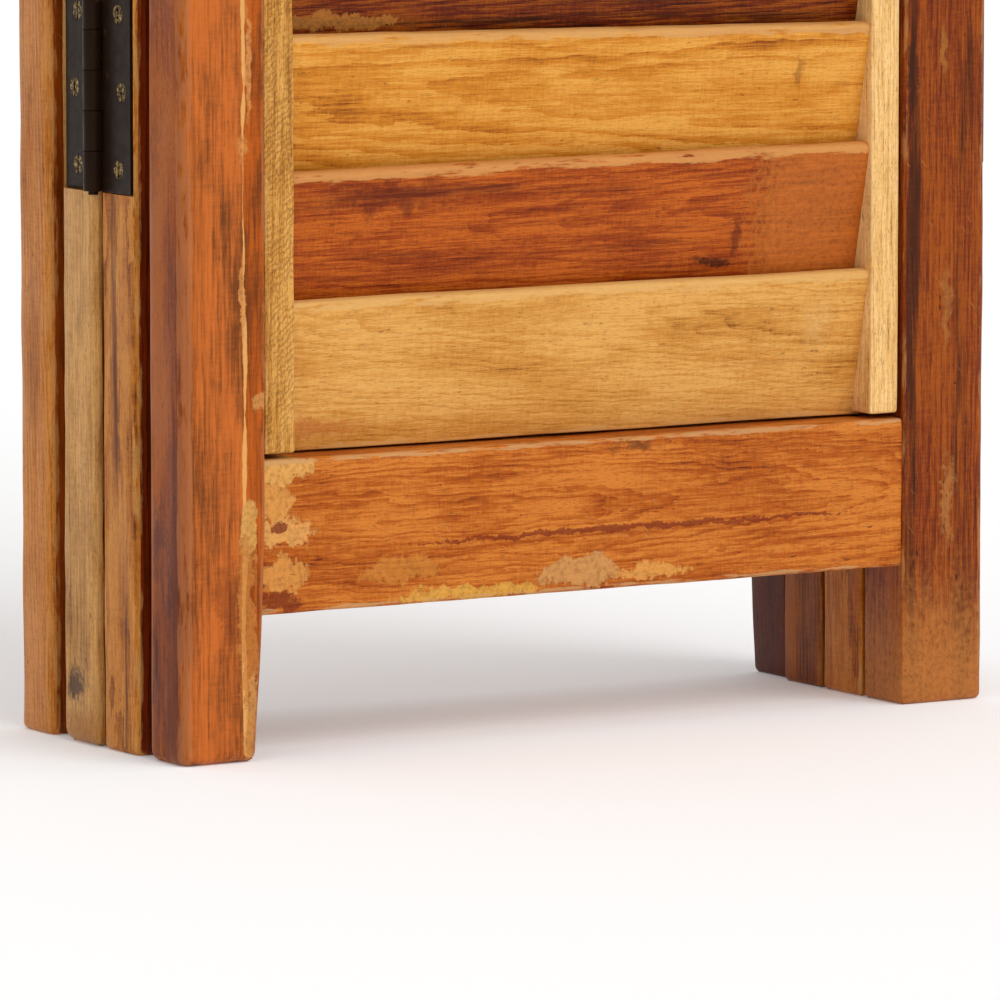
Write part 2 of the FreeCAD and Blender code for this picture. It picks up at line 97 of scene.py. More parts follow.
# ------------------------------------------------------------------ node trees
class Graph:
    """Short calls for the nodes that the finishes are made of."""

    def __init__(self, tree: bpy.types.NodeTree) -> None:
        """Work in one node tree.

        Args:
            tree: The tree that the nodes go in.
        """
        self.tree = tree

    def feed(self, socket: bpy.types.NodeSocket, value: Any) -> None:
        """Link a socket to another, or set its own value.

        Args:
            socket: The input that is fed.
            value: An output socket, or a plain value.
        """
        if isinstance(value, bpy.types.NodeSocket):
            self.tree.links.new(value, socket)
        else:
            socket.default_value = value

    def node(self, kind: str, feeds: dict[Any, Any] | None = None,
             **settings: Any) -> bpy.types.Node:
        """Add a node.

        Args:
            kind: The node's type name.
            feeds: What goes into its inputs, by name or number.
            **settings: The node's own properties.

        Returns:
            The new node.
        """
        made = self.tree.nodes.new(kind)
        for key, value in settings.items():
            setattr(made, key, value)
        for key, value in (feeds or {}).items():
            self.feed(made.inputs[key], value)
        return made

    def math(self, operation: str, *values: Any, clamp: bool = False) -> bpy.types.NodeSocket:
        """One step of arithmetic on numbers.

        Args:
            operation: The Math node's operation.
            *values: Its operands.
            clamp: Whether the result is held between 0 and 1.

        Returns:
            The result.
        """
        feeds = dict(enumerate(values))
        return self.node("ShaderNodeMath", feeds, operation=operation, use_clamp=clamp).outputs[0]

    def vector(self, operation: str, *values: Any) -> bpy.types.NodeSocket:
        """One step of arithmetic on vectors.

        Args:
            operation: The Vector Math node's operation.
            *values: Its operands.

        Returns:
            The vector, or the number for a length.
        """
        made = self.node("ShaderNodeVectorMath", dict(enumerate(values)), operation=operation)
        return made.outputs[1 if operation == "LENGTH" else 0]

    def noise(self, vector: Any, stretch: Triple, detail: float = 2.0, rough: float = 0.5,
              coloured: bool = False) -> bpy.types.NodeSocket:
        """Cloudy noise.

        Args:
            vector: Where it is read, in metres.
            stretch: Cells to the metre in each direction.
            detail: How many finer octaves it has.
            rough: How strong the finer octaves are.
            coloured: Whether three independent noises are wanted.

        Returns:
            The noise, 0 to 1 about 0.5.
        """
        scaled = self.vector("MULTIPLY", vector, stretch)
        feeds = {"Vector": scaled, "Scale": 1.0, "Detail": detail, "Roughness": rough}
        return self.node("ShaderNodeTexNoise", feeds).outputs[1 if coloured else 0]

    def ripple(self, vector: Any, stretch: Triple, detail: float, rough: float) -> Any:
        """Cloudy noise about nought: what the noise of the same settings says, less a half."""
        return self.math("SUBTRACT", self.noise(vector, stretch, detail, rough), 0.5)

    def shake(self, vector: Any, stretch: Triple, detail: float, rough: float,
              reach: Any) -> bpy.types.NodeSocket:
        """A random push in all three directions.

        Args:
            vector: Where it is read, in metres.
            stretch: Cells to the metre in each direction.
            detail: How many finer octaves it has.
            rough: How strong the finer octaves are.
            reach: How far it pushes.

        Returns:
            The push as a vector.
        """
        clouds = self.vector("SUBTRACT", self.noise(vector, stretch, detail, rough, True), HALF)
        feeds = {0: clouds, "Scale": reach}
        return self.node("ShaderNodeVectorMath", feeds, operation="SCALE").outputs[0]

    def ramp(self, value: Any, low: Any, high: Any, start: float = 0.0,
             end: float = 1.0) -> bpy.types.NodeSocket:
        """A smooth step between two values.

        Args:
            value: The number that is read.
            low: Where the step starts.
            high: Where it ends.
            start: What comes out below it.
            end: What comes out above it.

        Returns:
            The stepped number.
        """
        feeds = {"Value": value, "From Min": low, "From Max": high, "To Min": start, "To Max": end}
        return self.node("ShaderNodeMapRange", feeds, interpolation_type="SMOOTHSTEP").outputs[0]

    def mix(self, share: Any, first: Any, second: Any, blend: str = "MIX") -> bpy.types.NodeSocket:
        """A mix of two colours.

        Args:
            share: How much of the second is used.
            first: The colour underneath.
            second: The colour on top.
            blend: The way they are mixed.

        Returns:
            The mixed colour.
        """
        feeds = {0: share, 6: first, 7: second}
        made = self.node("ShaderNodeMix", feeds, data_type="RGBA", blend_type=blend)
        return made.outputs[2]

    def attribute(self, name: str) -> bpy.types.Node:
        """The node that reads a named attribute of the mesh."""
        return self.node("ShaderNodeAttribute", attribute_name=name)


SOCKETS = {"vector": "NodeSocketVector", "colour": "NodeSocketColor", "number": "NodeSocketFloat"}


class Effect:
    """A surface effect that several finishes share, held as one node group.

    Args:
        title: The group's name.
        takes: Its inputs and their kinds.
        gives: Its outputs and their kinds.
    """

    title = "effect"
    takes: dict[str, str] = {}
    gives: dict[str, str] = {}

    def __init__(self) -> None:
        """Build the group once."""
        self.tree = bpy.data.node_groups.new(self.title, "ShaderNodeTree")
        for name, kind in self.takes.items():
            self.tree.interface.new_socket(name, in_out="INPUT", socket_type=SOCKETS[kind])
        for name, kind in self.gives.items():
            self.tree.interface.new_socket(name, in_out="OUTPUT", socket_type=SOCKETS[kind])
        graph = Graph(self.tree)
        taken = graph.node("NodeGroupInput").outputs
        given = graph.node("NodeGroupOutput").inputs
        for name, value in self.work(graph, taken).items():
            graph.feed(given[name], value)

    def work(self, graph: Graph, taken: Any) -> dict[str, Any]:
        """Make the group's inside.

        Args:
            graph: The group's own tree.
            taken: The group's inputs, by name.

        Returns:
            What each output is fed with.
        """
        raise NotImplementedError

    def place(self, graph: Graph, **values: Any) -> Any:
        """Put the effect into a material.

        Args:
            graph: The material's tree.
            **values: What goes into the group's inputs.

        Returns:
            The group's outputs, by name.
        """
        made = graph.node("ShaderNodeGroup", node_tree=self.tree)
        for name, value in values.items():
            graph.feed(made.inputs[name], value)
        return made.outputs


class TimberFigure(Effect):
    """Growth rings about the pith, fibres, pores, dark streaks, blotches and sanding."""

    title = "timber_figure"
    takes = {"Grain": "vector", "Pith": "vector", "Pale": "colour", "Mid": "colour",
             "Dark": "colour", "Spacing": "number", "Rings": "number", "Wander": "number",
             "Fibres": "number", "Pores": "number", "Streaks": "number", "Cover": "number",
             "Blotches": "number"}
    gives = {"Colour": "colour", "Height": "number", "Tone": "number", "Streak": "number"}

    def work(self, graph: Graph, taken: Any) -> dict[str, Any]:
        """Rings are the whole steps of the distance from the pith, shaken and curled by noise.

        Args:
            graph: The group's own tree.
            taken: The group's inputs, by name.

        Returns:
            The colour, the height of the surface, how dark the figure is and the streaks.
        """
        grain = taken["Grain"]
        shake = graph.shake(grain, (9.0, 60.0, 60.0), 4.0, 0.6, taken["Wander"])
        curl = graph.shake(grain, (48.0, 75.0, 75.0), 3.0, 0.6,
                           graph.math("MULTIPLY", taken["Wander"], 0.3))
        flat = graph.vector("MULTIPLY", taken["Pith"], (0.0, 1.0, 1.0))
        flat = graph.vector("ADD", flat, curl)
        reach = graph.vector("LENGTH", graph.vector("ADD", flat, shake))
        turns = graph.math("DIVIDE", reach, taken["Spacing"])
        part = graph.math("FRACT", turns)
        own = graph.node("ShaderNodeTexWhiteNoise", {"W": graph.math("FLOOR", turns)},
                         noise_dimensions="1D").outputs["Value"]
        late = graph.math("MULTIPLY", graph.ramp(part, 0.25, 0.93),
                          graph.ramp(part, 0.93, 1.0, 1.0, 0.0))
        late = graph.math("MULTIPLY", late, graph.math("MULTIPLY_ADD", own, 0.75, 0.25))
        fibre = graph.ripple(grain, (34.0, 950.0, 950.0), 5.0, 0.78)
        pores = graph.ramp(graph.noise(grain, (300.0, 3000.0, 3000.0), 1.0), 0.56, 0.68)
        streak = graph.noise(grain, (3.4, 75.0, 75.0), 5.0, 0.68)
        cover_end = graph.math("ADD", taken["Cover"], 0.13)
        streak = graph.ramp(streak, taken["Cover"], cover_end)
        blotch = graph.ripple(grain, (13.0, 48.0, 48.0), 5.0, 0.65)
        sanding = graph.ripple(grain, (900.0, 130.0, 130.0), 3.0, 0.7)

        tone = graph.math("MULTIPLY_ADD", late, taken["Rings"], 0.22)
        tone = graph.math("MULTIPLY_ADD", fibre, taken["Fibres"], tone)
        tone = graph.math("MULTIPLY_ADD", blotch, taken["Blotches"], tone)
        tone = graph.math("MULTIPLY_ADD", sanding, 0.55, tone)
        colour = graph.mix(graph.ramp(tone, -0.05, 0.6), taken["Pale"], taken["Mid"])
        colour = graph.mix(graph.ramp(tone, 0.5, 1.15), colour, taken["Dark"])
        colour = graph.mix(graph.math("MULTIPLY", streak, taken["Streaks"]), colour, taken["Dark"])
        pore_share = graph.math("MULTIPLY", pores, taken["Pores"])
        colour = graph.mix(pore_share, colour, PORE_SHADE, "MULTIPLY")
        height = graph.math("MULTIPLY_ADD", late, -0.25, graph.math("MULTIPLY", fibre, 0.5))
        height = graph.math("MULTIPLY_ADD", pores, -0.5, height)
        return {"Colour": colour, "Height": height, "Tone": tone, "Streak": streak}


class WornArris(Effect):
    """Where the arrises are rubbed: the stored arris, broken up by noise along the grain."""

    title = "worn_arris"
    takes = {"Arris": "number", "Grain": "vector", "Cover": "number", "Amount": "number"}
    gives = {"Mask": "number"}

    def work(self, graph: Graph, taken: Any) -> dict[str, Any]:
        """The arris plus noise, cut off at the cover.

        Args:
            graph: The group's own tree.
            taken: The group's inputs, by name.

        Returns:
            The mask.
        """
        ragged = graph.ripple(taken["Grain"], (45.0, 260.0, 260.0), 4.0, 0.65)
        ragged = graph.math("MULTIPLY_ADD", ragged, 1.5, taken["Arris"])
        start = graph.math("SUBTRACT", 1.0, taken["Cover"])
        mask = graph.ramp(ragged, start, graph.math("ADD", start, 0.22))
        return {"Mask": graph.math("MULTIPLY", mask, taken["Amount"], clamp=True)}


class Patch(Effect):
    """A ragged oval spot at a given place, such as a dab of filler or a knot."""

    title = "patch"
    takes = {"Place": "vector", "Centre": "vector", "Radii": "vector", "Ragged": "number",
             "Soft": "number"}
    gives = {"Mask": "number", "Reach": "number"}

    def work(self, graph: Graph, taken: Any) -> dict[str, Any]:
        """The distance from the centre in radii, shaken by noise.

        Args:
            graph: The group's own tree.
            taken: The group's inputs, by name.

        Returns:
            The mask and the distance.
        """
        shake = graph.shake(taken["Place"], (75.0, 75.0, 75.0), 6.0, 0.72,
                            graph.math("MULTIPLY", taken["Ragged"], 2.2))
        away = graph.vector("SUBTRACT", taken["Place"], taken["Centre"])
        away = graph.vector("DIVIDE", graph.vector("ADD", away, shake), taken["Radii"])
        fine = graph.ripple(taken["Place"], (420.0, 420.0, 240.0), 4.0, 0.7)
        reach = graph.math("MULTIPLY_ADD", fine, 0.9, graph.vector("LENGTH", away))
        inner = graph.math("SUBTRACT", 1.0, taken["Soft"])
        return {"Mask": graph.ramp(reach, inner, 1.03, 1.0, 0.0), "Reach": reach}


class GlueLineAndShadeSplit(Effect):
    """Where two timbers are glued side by side, and where a stile's front face is split from its
    side face to be painted in shade: which side a point is on, and the pale line.
    """

    title = "glue_line_and_shade_split"
    takes = {"Place": "vector", "Across": "number", "Breadth": "number", "Wander": "number"}
    gives = {"Beyond": "number", "Line": "number"}
    slant = 3.0

    def work(self, graph: Graph, taken: Any) -> dict[str, Any]:
        """The distance across, less the slant times that through, from a line that wanders.

        So a line near the edge lies on the front arris, and none shows on the rear face.

        Args:
            graph: The group's own tree.
            taken: The group's inputs, by name.

        Returns:
            The mask of the far side and of the line.
        """
        shake = graph.math("MULTIPLY", taken["Wander"],
                           graph.ripple(taken["Place"], (3.0, 3.0, 26.0), 6.0, 0.68))
        parts = graph.node("ShaderNodeSeparateXYZ", {0: taken["Place"]}).outputs
        through = graph.math("FLOORED_MODULO", graph.math("ADD", parts[1], 1.0), LEAF_STEP)
        across = graph.math("ADD", graph.math("MULTIPLY_ADD", through, -self.slant, parts[0]),
                            self.slant)
        off = graph.math("SUBTRACT", graph.math("ADD", across, shake), taken["Across"])
        gaps = graph.noise(taken["Place"], (20.0, 20.0, 30.0), 3.0, 0.6)
        half = graph.math("MULTIPLY", taken["Breadth"], graph.ramp(gaps, 0.36, 0.6, 0.08, 1.0))
        line = graph.ramp(graph.math("ABSOLUTE", off), graph.math("MULTIPLY", half, 0.55), half,
                          1.0, 0.0)
        return {"Beyond": graph.ramp(off, -0.0002, 0.0003), "Line": line}


class SawMarks(Effect):
    """Slanting saw cuts left on rough timber, fading in and out."""

    title = "saw_marks"
    takes = {"Place": "vector", "Slope": "number", "Spacing": "number", "Cover": "number"}
    gives = {"Mask": "number"}

    def work(self, graph: Graph, taken: Any) -> dict[str, Any]:
        """A sine of the height plus slope times the distance across, kept where noise is high.

        Args:
            graph: The group's own tree.
            taken: The group's inputs, by name.

        Returns:
            The mask of the cuts.
        """
        parts = graph.node("ShaderNodeSeparateXYZ", {0: taken["Place"]}).outputs
        drift = graph.noise(taken["Place"], (240.0, 240.0, 130.0), 4.0, 0.7)
        run = graph.math("MULTIPLY_ADD", parts[0], taken["Slope"], parts[2])
        run = graph.math("MULTIPLY_ADD", drift, 0.011, run)
        wave = graph.math("SINE", graph.math("DIVIDE", run, taken["Spacing"]))
        kept = graph.noise(taken["Place"], (90.0, 90.0, 30.0), 3.0, 0.6)
        start = graph.math("SUBTRACT", 1.0, taken["Cover"])
        kept = graph.ramp(kept, start, graph.math("ADD", start, 0.16))
        return {"Mask": graph.math("MULTIPLY", graph.ramp(wave, 0.0, 0.9), kept)}


class Lacquer(Effect):
    """Uneven satin lacquer: its sheen comes and goes, and it has a faint brushed texture."""

    title = "lacquer"
    takes = {"Grain": "vector", "Low": "number", "High": "number"}
    gives = {"Roughness": "number", "Height": "number"}

    def work(self, graph: Graph, taken: Any) -> dict[str, Any]:
        """Roughness between two values by slow noise, and a finer noise for the height.

        Args:
            graph: The group's own tree.
            taken: The group's inputs, by name.

        Returns:
            The roughness and the height.
        """
        slow = graph.ramp(graph.noise(taken["Grain"], (16.0, 60.0, 60.0), 3.0), 0.3, 0.7)
        span = graph.math("SUBTRACT", taken["High"], taken["Low"])
        rough = graph.math("MULTIPLY_ADD", slow, span, taken["Low"])
        brushed = graph.noise(taken["Grain"], (70.0, 420.0, 420.0), 2.0)
        return {"Roughness": rough, "Height": brushed}


class Knocks(Effect):
    """Small dark nicks and fine pale scratches of long use."""

    title = "knocks"
    takes = {"Grain": "vector", "Place": "vector", "Amount": "number"}
    gives = {"Nicks": "number", "Scratches": "number"}

    def work(self, graph: Graph, taken: Any) -> dict[str, Any]:
        """Nicks are the peaks of an even noise, scratches those of a slanting stretched one.

        Args:
            graph: The group's own tree.
            taken: The group's inputs, by name.

        Returns:
            The two masks.
        """
        nicks = graph.ramp(graph.noise(taken["Grain"], (170.0, 420.0, 420.0), 3.0), 0.69, 0.75)
        turned = graph.node("ShaderNodeVectorRotate", {"Vector": taken["Place"], "Angle": 0.7},
                            rotation_type="Y_AXIS").outputs[0]
        scratches = graph.noise(turned, (1300.0, 1300.0, 60.0), 2.0)
        rare = graph.ramp(graph.noise(taken["Place"], (14.0, 14.0, 14.0), 1.0), 0.5, 0.62)
        scratches = graph.math("MULTIPLY", graph.ramp(scratches, 0.69, 0.76), rare)
        return {"Nicks": graph.math("MULTIPLY", nicks, taken["Amount"]),
                "Scratches": graph.math("MULTIPLY", scratches, taken["Amount"])}


@dataclass
class Effects:
    """Every shared effect, built once.

    Args:
        figure: The timber's own figure.
        arris: The rubbed arrises.
        patch: Filler, knots and stains.
        glue: The lines between glued timbers, and the split of a stile's front face from its side
            face where one is painted in shade.
        saw: The saw's marks.
        lacquer: The lacquer's sheen.
        knocks: Nicks and scratches.
    """

    figure: TimberFigure = field(default_factory=TimberFigure)
    arris: WornArris = field(default_factory=WornArris)
    patch: Patch = field(default_factory=Patch)
    glue: GlueLineAndShadeSplit = field(default_factory=GlueLineAndShadeSplit)
    saw: SawMarks = field(default_factory=SawMarks)
    lacquer: Lacquer = field(default_factory=Lacquer)
    knocks: Knocks = field(default_factory=Knocks)


# ------------------------------------------------------------------ finishes
FILLER = paint(222, 164, 98)
KNOT = paint(62, 34, 20)
PORE_SHADE = (0.30, 0.24, 0.2, 1.0)
NICK_SHADE = (0.22, 0.15, 0.11, 1.0)
WARM_GLOSS = (1.0, 0.78, 0.52, 1.0)
WOOD_GLOSS = 0.24
IRON_GLOSS = 0.1
BAND_LIGHT = 1.3
BAND_SHADE = 0.34
SPOT_SHADE = 0.62
GLUE_BREADTH = 1.7 * MM
GLUE_WANDER = 3 * MM
SAW_SLOPE = -0.75
SAW_SPACING = 0.5 * MM
WOOD_BUMP = 0.45 * MM
IRON_BUMP = 0.2 * MM


def new_finish(name: str) -> tuple[bpy.types.Material, Graph, bpy.types.Node]:
    """Start a material.

    Args:
        name: Its name.

    Returns:
        The material, its tree and its shader.
    """
    made = bpy.data.materials.new(name)
    made.use_nodes = True
    return made, Graph(made.node_tree), made.node_tree.nodes["Principled BSDF"]


def dress_surface(graph: Graph, shader: bpy.types.Node, height: Any, relief: float, deep: float,
                  gloss: float) -> None:
    """Give a shader its bump and its warm gloss.

    Args:
        graph: The material's tree.
        shader: The shader.
        height: The height of the surface, 0 to 1.
        relief: The bump's strength.
        deep: How deep a height of 1 is, in metres.
        gloss: How much light it mirrors, 0 to 1.
    """
    bump = graph.node("ShaderNodeBump", {"Strength": relief, "Distance": deep, "Height": height})
    graph.feed(shader.inputs["Normal"], bump.outputs[0])
    graph.feed(shader.inputs["Specular IOR Level"], gloss)
    graph.feed(shader.inputs["Specular Tint"], WARM_GLOSS)


@dataclass(frozen=True)
class Spot:
    """A mark at one place on one leaf, with its lengths in millimetres.

    Args:
        leaf: The leaf it is on.
        across: How far it is from the leaf's left edge.
        height: How high it is above the floor.
        width: Its half width.
        tall: Its half height.
        colour: Its colour.
        share: How strongly it covers.
        ragged: How far its outline wanders.
        soft: How wide its fading edge is, as a share of it.
        through: How far it is behind the front face.
        deep: Its half depth.
    """

    leaf: int
    across: float
    height: float
    width: float
    tall: float
    colour: Colour = FILLER
    share: float = 0.9
    ragged: float = 8
    soft: float = 0.14
    through: float = 0
    deep: float = 1000


@dataclass(frozen=True)
class WoodFinish:
    """One timber under its lacquer, with its lengths in millimetres.

    Args:
        name: The material's name.
        pale: The colour of early wood.
        mid: The usual colour.
        dark: The colour of late wood and streaks.
        worn: The colour of a rubbed arris.
        spacing: The distance between rings.
        rings: How strongly the rings show.
        wander: How far the rings stray.
        fibres: How strongly the fibres show.
        pores: How dark the pores are.
        streaks: How dark the streaks are.
        cover: How rare the streaks are, 0 to 1.
        blotches: How uneven the colour is.
        wear: How much of each arris is rubbed, 0 to 1.
        wear_amount: How strongly the rubbing shows.
        sheen: The lowest and highest roughness.
        relief: The bump's strength.
        knocks: How many nicks and scratches there are.
        saw: How much of the surface keeps its saw marks, 0 to 1.
        bands: Colours further across, each with where it starts from the leaf's left edge, its
            colour
        and how strongly its glue line shows: a timber glued on, or with no glue line, painted shade
        or light on a stile's front face apart from its side face.
        spots: Marks at given places.
    """

    name: str
    pale: Colour
    mid: Colour
    dark: Colour
    worn: Colour = paint(214, 168, 112)
    spacing: float = 2.6
    rings: float = 0.42
    wander: float = 7
    fibres: float = 1.9
    pores: float = 0.5
    streaks: float = 0.6
    cover: float = 0.56
    blotches: float = 1.5
    wear: float = 0.08
    wear_amount: float = 0.5
    sheen: tuple[float, float] = (0.30, 0.48)
    relief: float = 0.35
    knocks: float = 0.5
    saw: float = 0.0
    bands: tuple[tuple[float, Colour, float], ...] = ()
    spots: tuple[Spot, ...] = ()

    def material(self, effects: Effects) -> bpy.types.Material:
        """Build the finish.

        Args:
            effects: The shared effects.

        Returns:
            The material.
        """
        made, graph, shader = new_finish(self.name)
        grain = graph.attribute("grain").outputs["Vector"]
        place = graph.attribute("place").outputs["Vector"]
        figure = effects.figure.place(
            graph, Grain=grain, Pith=graph.attribute("pith").outputs["Vector"], Pale=self.pale,
            Mid=self.mid, Dark=self.dark, Spacing=self.spacing * MM, Rings=self.rings,
            Wander=self.wander * MM, Fibres=self.fibres, Pores=self.pores, Streaks=self.streaks,
            Cover=self.cover, Blotches=self.blotches)
        colour = figure["Colour"]
        height = figure["Height"]
        # Each band colours the timber beyond a line across the leaf. It is either a timber glued on,
        # with its glue line, or, where the line's strength is nought, painted shade or light on a
        # stile's front face apart from its side face.
        for across, second, line in self.bands:
            glue = effects.glue.place(graph, Place=place, Across=across * MM,
                                      Breadth=GLUE_BREADTH, Wander=GLUE_WANDER)
            light, shade = toned(second, BAND_LIGHT), toned(second, BAND_SHADE)
            banded = graph.mix(graph.ramp(figure["Tone"], -0.2, 1.0), light, shade)
            banded = graph.mix(graph.math("MULTIPLY", figure["Streak"], 0.5), banded, shade)
            colour = graph.mix(glue["Beyond"], colour, banded)
            colour = graph.mix(graph.math("MULTIPLY", glue["Line"], line), colour, FILLER)
        for spot in self.spots:
            colour, height = self.mark(effects, graph, place, spot, colour, height)
        if self.saw:
            cuts = effects.saw.place(graph, Place=place, Slope=SAW_SLOPE, Spacing=SAW_SPACING,
                                     Cover=self.saw)["Mask"]
            colour = graph.mix(graph.math("MULTIPLY", cuts, 0.34), colour, self.dark)
            height = graph.math("MULTIPLY_ADD", cuts, -1.0, height)
        knocks = effects.knocks.place(graph, Grain=grain, Place=place, Amount=self.knocks)
        colour = graph.mix(knocks["Nicks"], colour, NICK_SHADE, "MULTIPLY")
        colour = graph.mix(graph.math("MULTIPLY", knocks["Scratches"], 0.6), colour, self.worn)
        arris = effects.arris.place(graph, Arris=graph.attribute("arris").outputs["Fac"],
                                    Grain=grain, Cover=self.wear, Amount=self.wear_amount)["Mask"]
        colour = graph.mix(arris, colour, self.worn)
        graph.feed(shader.inputs["Base Color"], colour)
        lacquer = effects.lacquer.place(graph, Grain=grain, Low=self.sheen[0], High=self.sheen[1])
        rough = graph.math("MULTIPLY_ADD", arris, 0.18, lacquer["Roughness"])
        rough = graph.math("MULTIPLY_ADD", knocks["Nicks"], 0.2, rough, clamp=True)
        graph.feed(shader.inputs["Roughness"], rough)
        height = graph.math("MULTIPLY_ADD", lacquer["Height"], 0.35, height)
        height = graph.math("MULTIPLY_ADD", knocks["Nicks"], -1.2, height)
        dress_surface(graph, shader, height, self.relief, WOOD_BUMP, WOOD_GLOSS)
        return made

    def mark(self, effects: Effects, graph: Graph, place: Any, spot: Spot, colour: Any,
             height: Any) -> tuple[Any, Any]:
        """Lay one spot over the timber.

        Args:
            effects: The shared effects.
            graph: The material's tree.
            place: Where a point is on its leaf.
            spot: The mark.
            colour: The colour so far.
            height: The height so far.

        Returns:
            The colour and the height with the mark.
        """
        centre = (spot.across * MM, spot.leaf * LEAF_STEP + spot.through * MM, spot.height * MM)
        radii = (spot.width * MM, spot.deep * MM, spot.tall * MM)
        patch = effects.patch.place(graph, Place=place, Centre=centre, Ragged=spot.ragged * MM,
                                    Soft=spot.soft, Radii=radii)
        mottle = graph.noise(place, (420.0, 420.0, 420.0), 5.0, 0.75)
        tint = graph.mix(graph.ramp(mottle, 0.42, 0.68), spot.colour,
                         toned(spot.colour, SPOT_SHADE))
        rim = graph.math("MULTIPLY", graph.ramp(patch["Reach"], 0.8, 0.98), patch["Mask"])
        colour = graph.mix(graph.math("MULTIPLY", patch["Mask"], spot.share), colour, tint)
        colour = graph.mix(graph.math("MULTIPLY", rim, 0.3 * spot.share), colour, self.dark)
        height = graph.math("MULTIPLY_ADD", graph.math("MULTIPLY", mottle, patch["Mask"]), 1.2,
                            height)
        return colour, height


@dataclass(frozen=True)
class IronFinish:
    """Old black iron with its paint rubbed through.

    Args:
        name: The material's name.
        paint_colour: The paint.
        rust: What shows through.
        cover: How rare the bare places are, 0 to 1.
        sheen: The lowest and highest roughness.
        grain: How fine the bare places are.
        relief: The bump's strength.
    """

    name: str
    paint_colour: Colour
    rust: Colour
    cover: float
    sheen: tuple[float, float]
    grain: float = 1.0
    relief: float = 0.25

    def material(self) -> bpy.types.Material:
        """Build the finish on object coordinates.

        Returns:
            The material.
        """
        made, graph, shader = new_finish(self.name)
        spot = graph.node("ShaderNodeTexCoord").outputs["Object"]
        cells = 170.0 * self.grain
        blotch = graph.noise(spot, (cells, cells, cells), 5.0, 0.65)
        bare = graph.ramp(blotch, self.cover, self.cover + 0.16)
        fine = graph.noise(spot, (900.0, 900.0, 900.0), 3.0, 0.6)
        rust = graph.mix(graph.ramp(fine, 0.35, 0.7), self.rust, self.paint_colour)
        graph.feed(shader.inputs["Base Color"], graph.mix(bare, self.paint_colour, rust))
        low, high = self.sheen
        graph.feed(shader.inputs["Roughness"], graph.ramp(blotch, 0.3, 0.7, low, high))
        height = graph.math("MULTIPLY_ADD", bare, -0.5, fine)
        dress_surface(graph, shader, height, self.relief, IRON_BUMP, IRON_GLOSS)
        return made


class Timber(Enum):
    """The timbers that the slats are cut from."""

    DARK_RED = 0
    GOLDEN = 1
    RED_BROWN = 2
    PALE_TAN = 3
    ORANGE = 4
    UMBER = 5


SLAT_FINISHES = {
    Timber.DARK_RED: WoodFinish(
        "slat_dark_red", paint(156, 84, 40), paint(106, 48, 20), paint(42, 16, 8),
        rings=0.4, streaks=0.85, cover=0.50, wear=0.24, wear_amount=0.8, fibres=2.8,
        worn=paint(176, 130, 90), spots=(
            Spot(1, 90, 322, 34, 4, paint(190, 128, 66), 0.6, 9),)),
    Timber.GOLDEN: WoodFinish(
        "slat_golden", paint(228, 164, 80), paint(204, 130, 52), paint(132, 68, 22),
        rings=0.45, wander=12, streaks=0.6, cover=0.60, spacing=4.5, pores=0.3,
        wear=0.26, wear_amount=0.75, worn=paint(212, 160, 102), spots=(
            Spot(1, 327, 292, 2.5, 9, paint(110, 62, 30), 0.45, 7, 0.7),)),
    Timber.RED_BROWN: WoodFinish(
        "slat_red_brown", paint(194, 102, 48), paint(150, 68, 28), paint(78, 28, 12),
        rings=0.35, fibres=2.4, streaks=0.7, cover=0.53, wear=0.3, wear_amount=0.75,
        worn=paint(214, 154, 92), spots=(
            Spot(1, 380, 228, 78, 90, paint(200, 116, 58), 0.6, 7, 0.06),
            Spot(1, 284, 208, 12, 2.4, paint(60, 22, 12), 0.8, 7, 0.5),
            Spot(1, 296, 218, 3, 11, paint(88, 32, 16), 0.6, 6, 0.6),
            Spot(1, 108, 244, 56, 9, paint(96, 40, 22), 0.6, 16, 0.8))),
    Timber.PALE_TAN: WoodFinish(
        "slat_pale_tan", paint(226, 170, 96), paint(204, 142, 70), paint(138, 82, 36),
        rings=0.32, streaks=0.45, cover=0.6, pores=0.35, wear=0.26, wear_amount=0.7,
        blotches=2.0, wander=11, worn=paint(220, 172, 108), spots=(
            Spot(1, 78, 142, 30, 6, paint(196, 110, 60), 0.55, 14, 0.8),
            Spot(1, 338, 176, 9, 15, paint(230, 182, 116), 0.4, 14, 0.8))),
    Timber.ORANGE: WoodFinish(
        "slat_orange", paint(206, 124, 60), paint(180, 94, 42), paint(104, 48, 22),
        rings=0.5, wander=8, spacing=4.0, wear=0.3, wear_amount=0.75,
        worn=paint(208, 154, 104)),
    Timber.UMBER: WoodFinish(
        "slat_umber", paint(158, 102, 62), paint(124, 74, 42), paint(64, 34, 20),
        rings=0.4, streaks=0.7, cover=0.53, wear=0.3, wear_amount=0.75,
        worn=paint(188, 144, 102)),
}


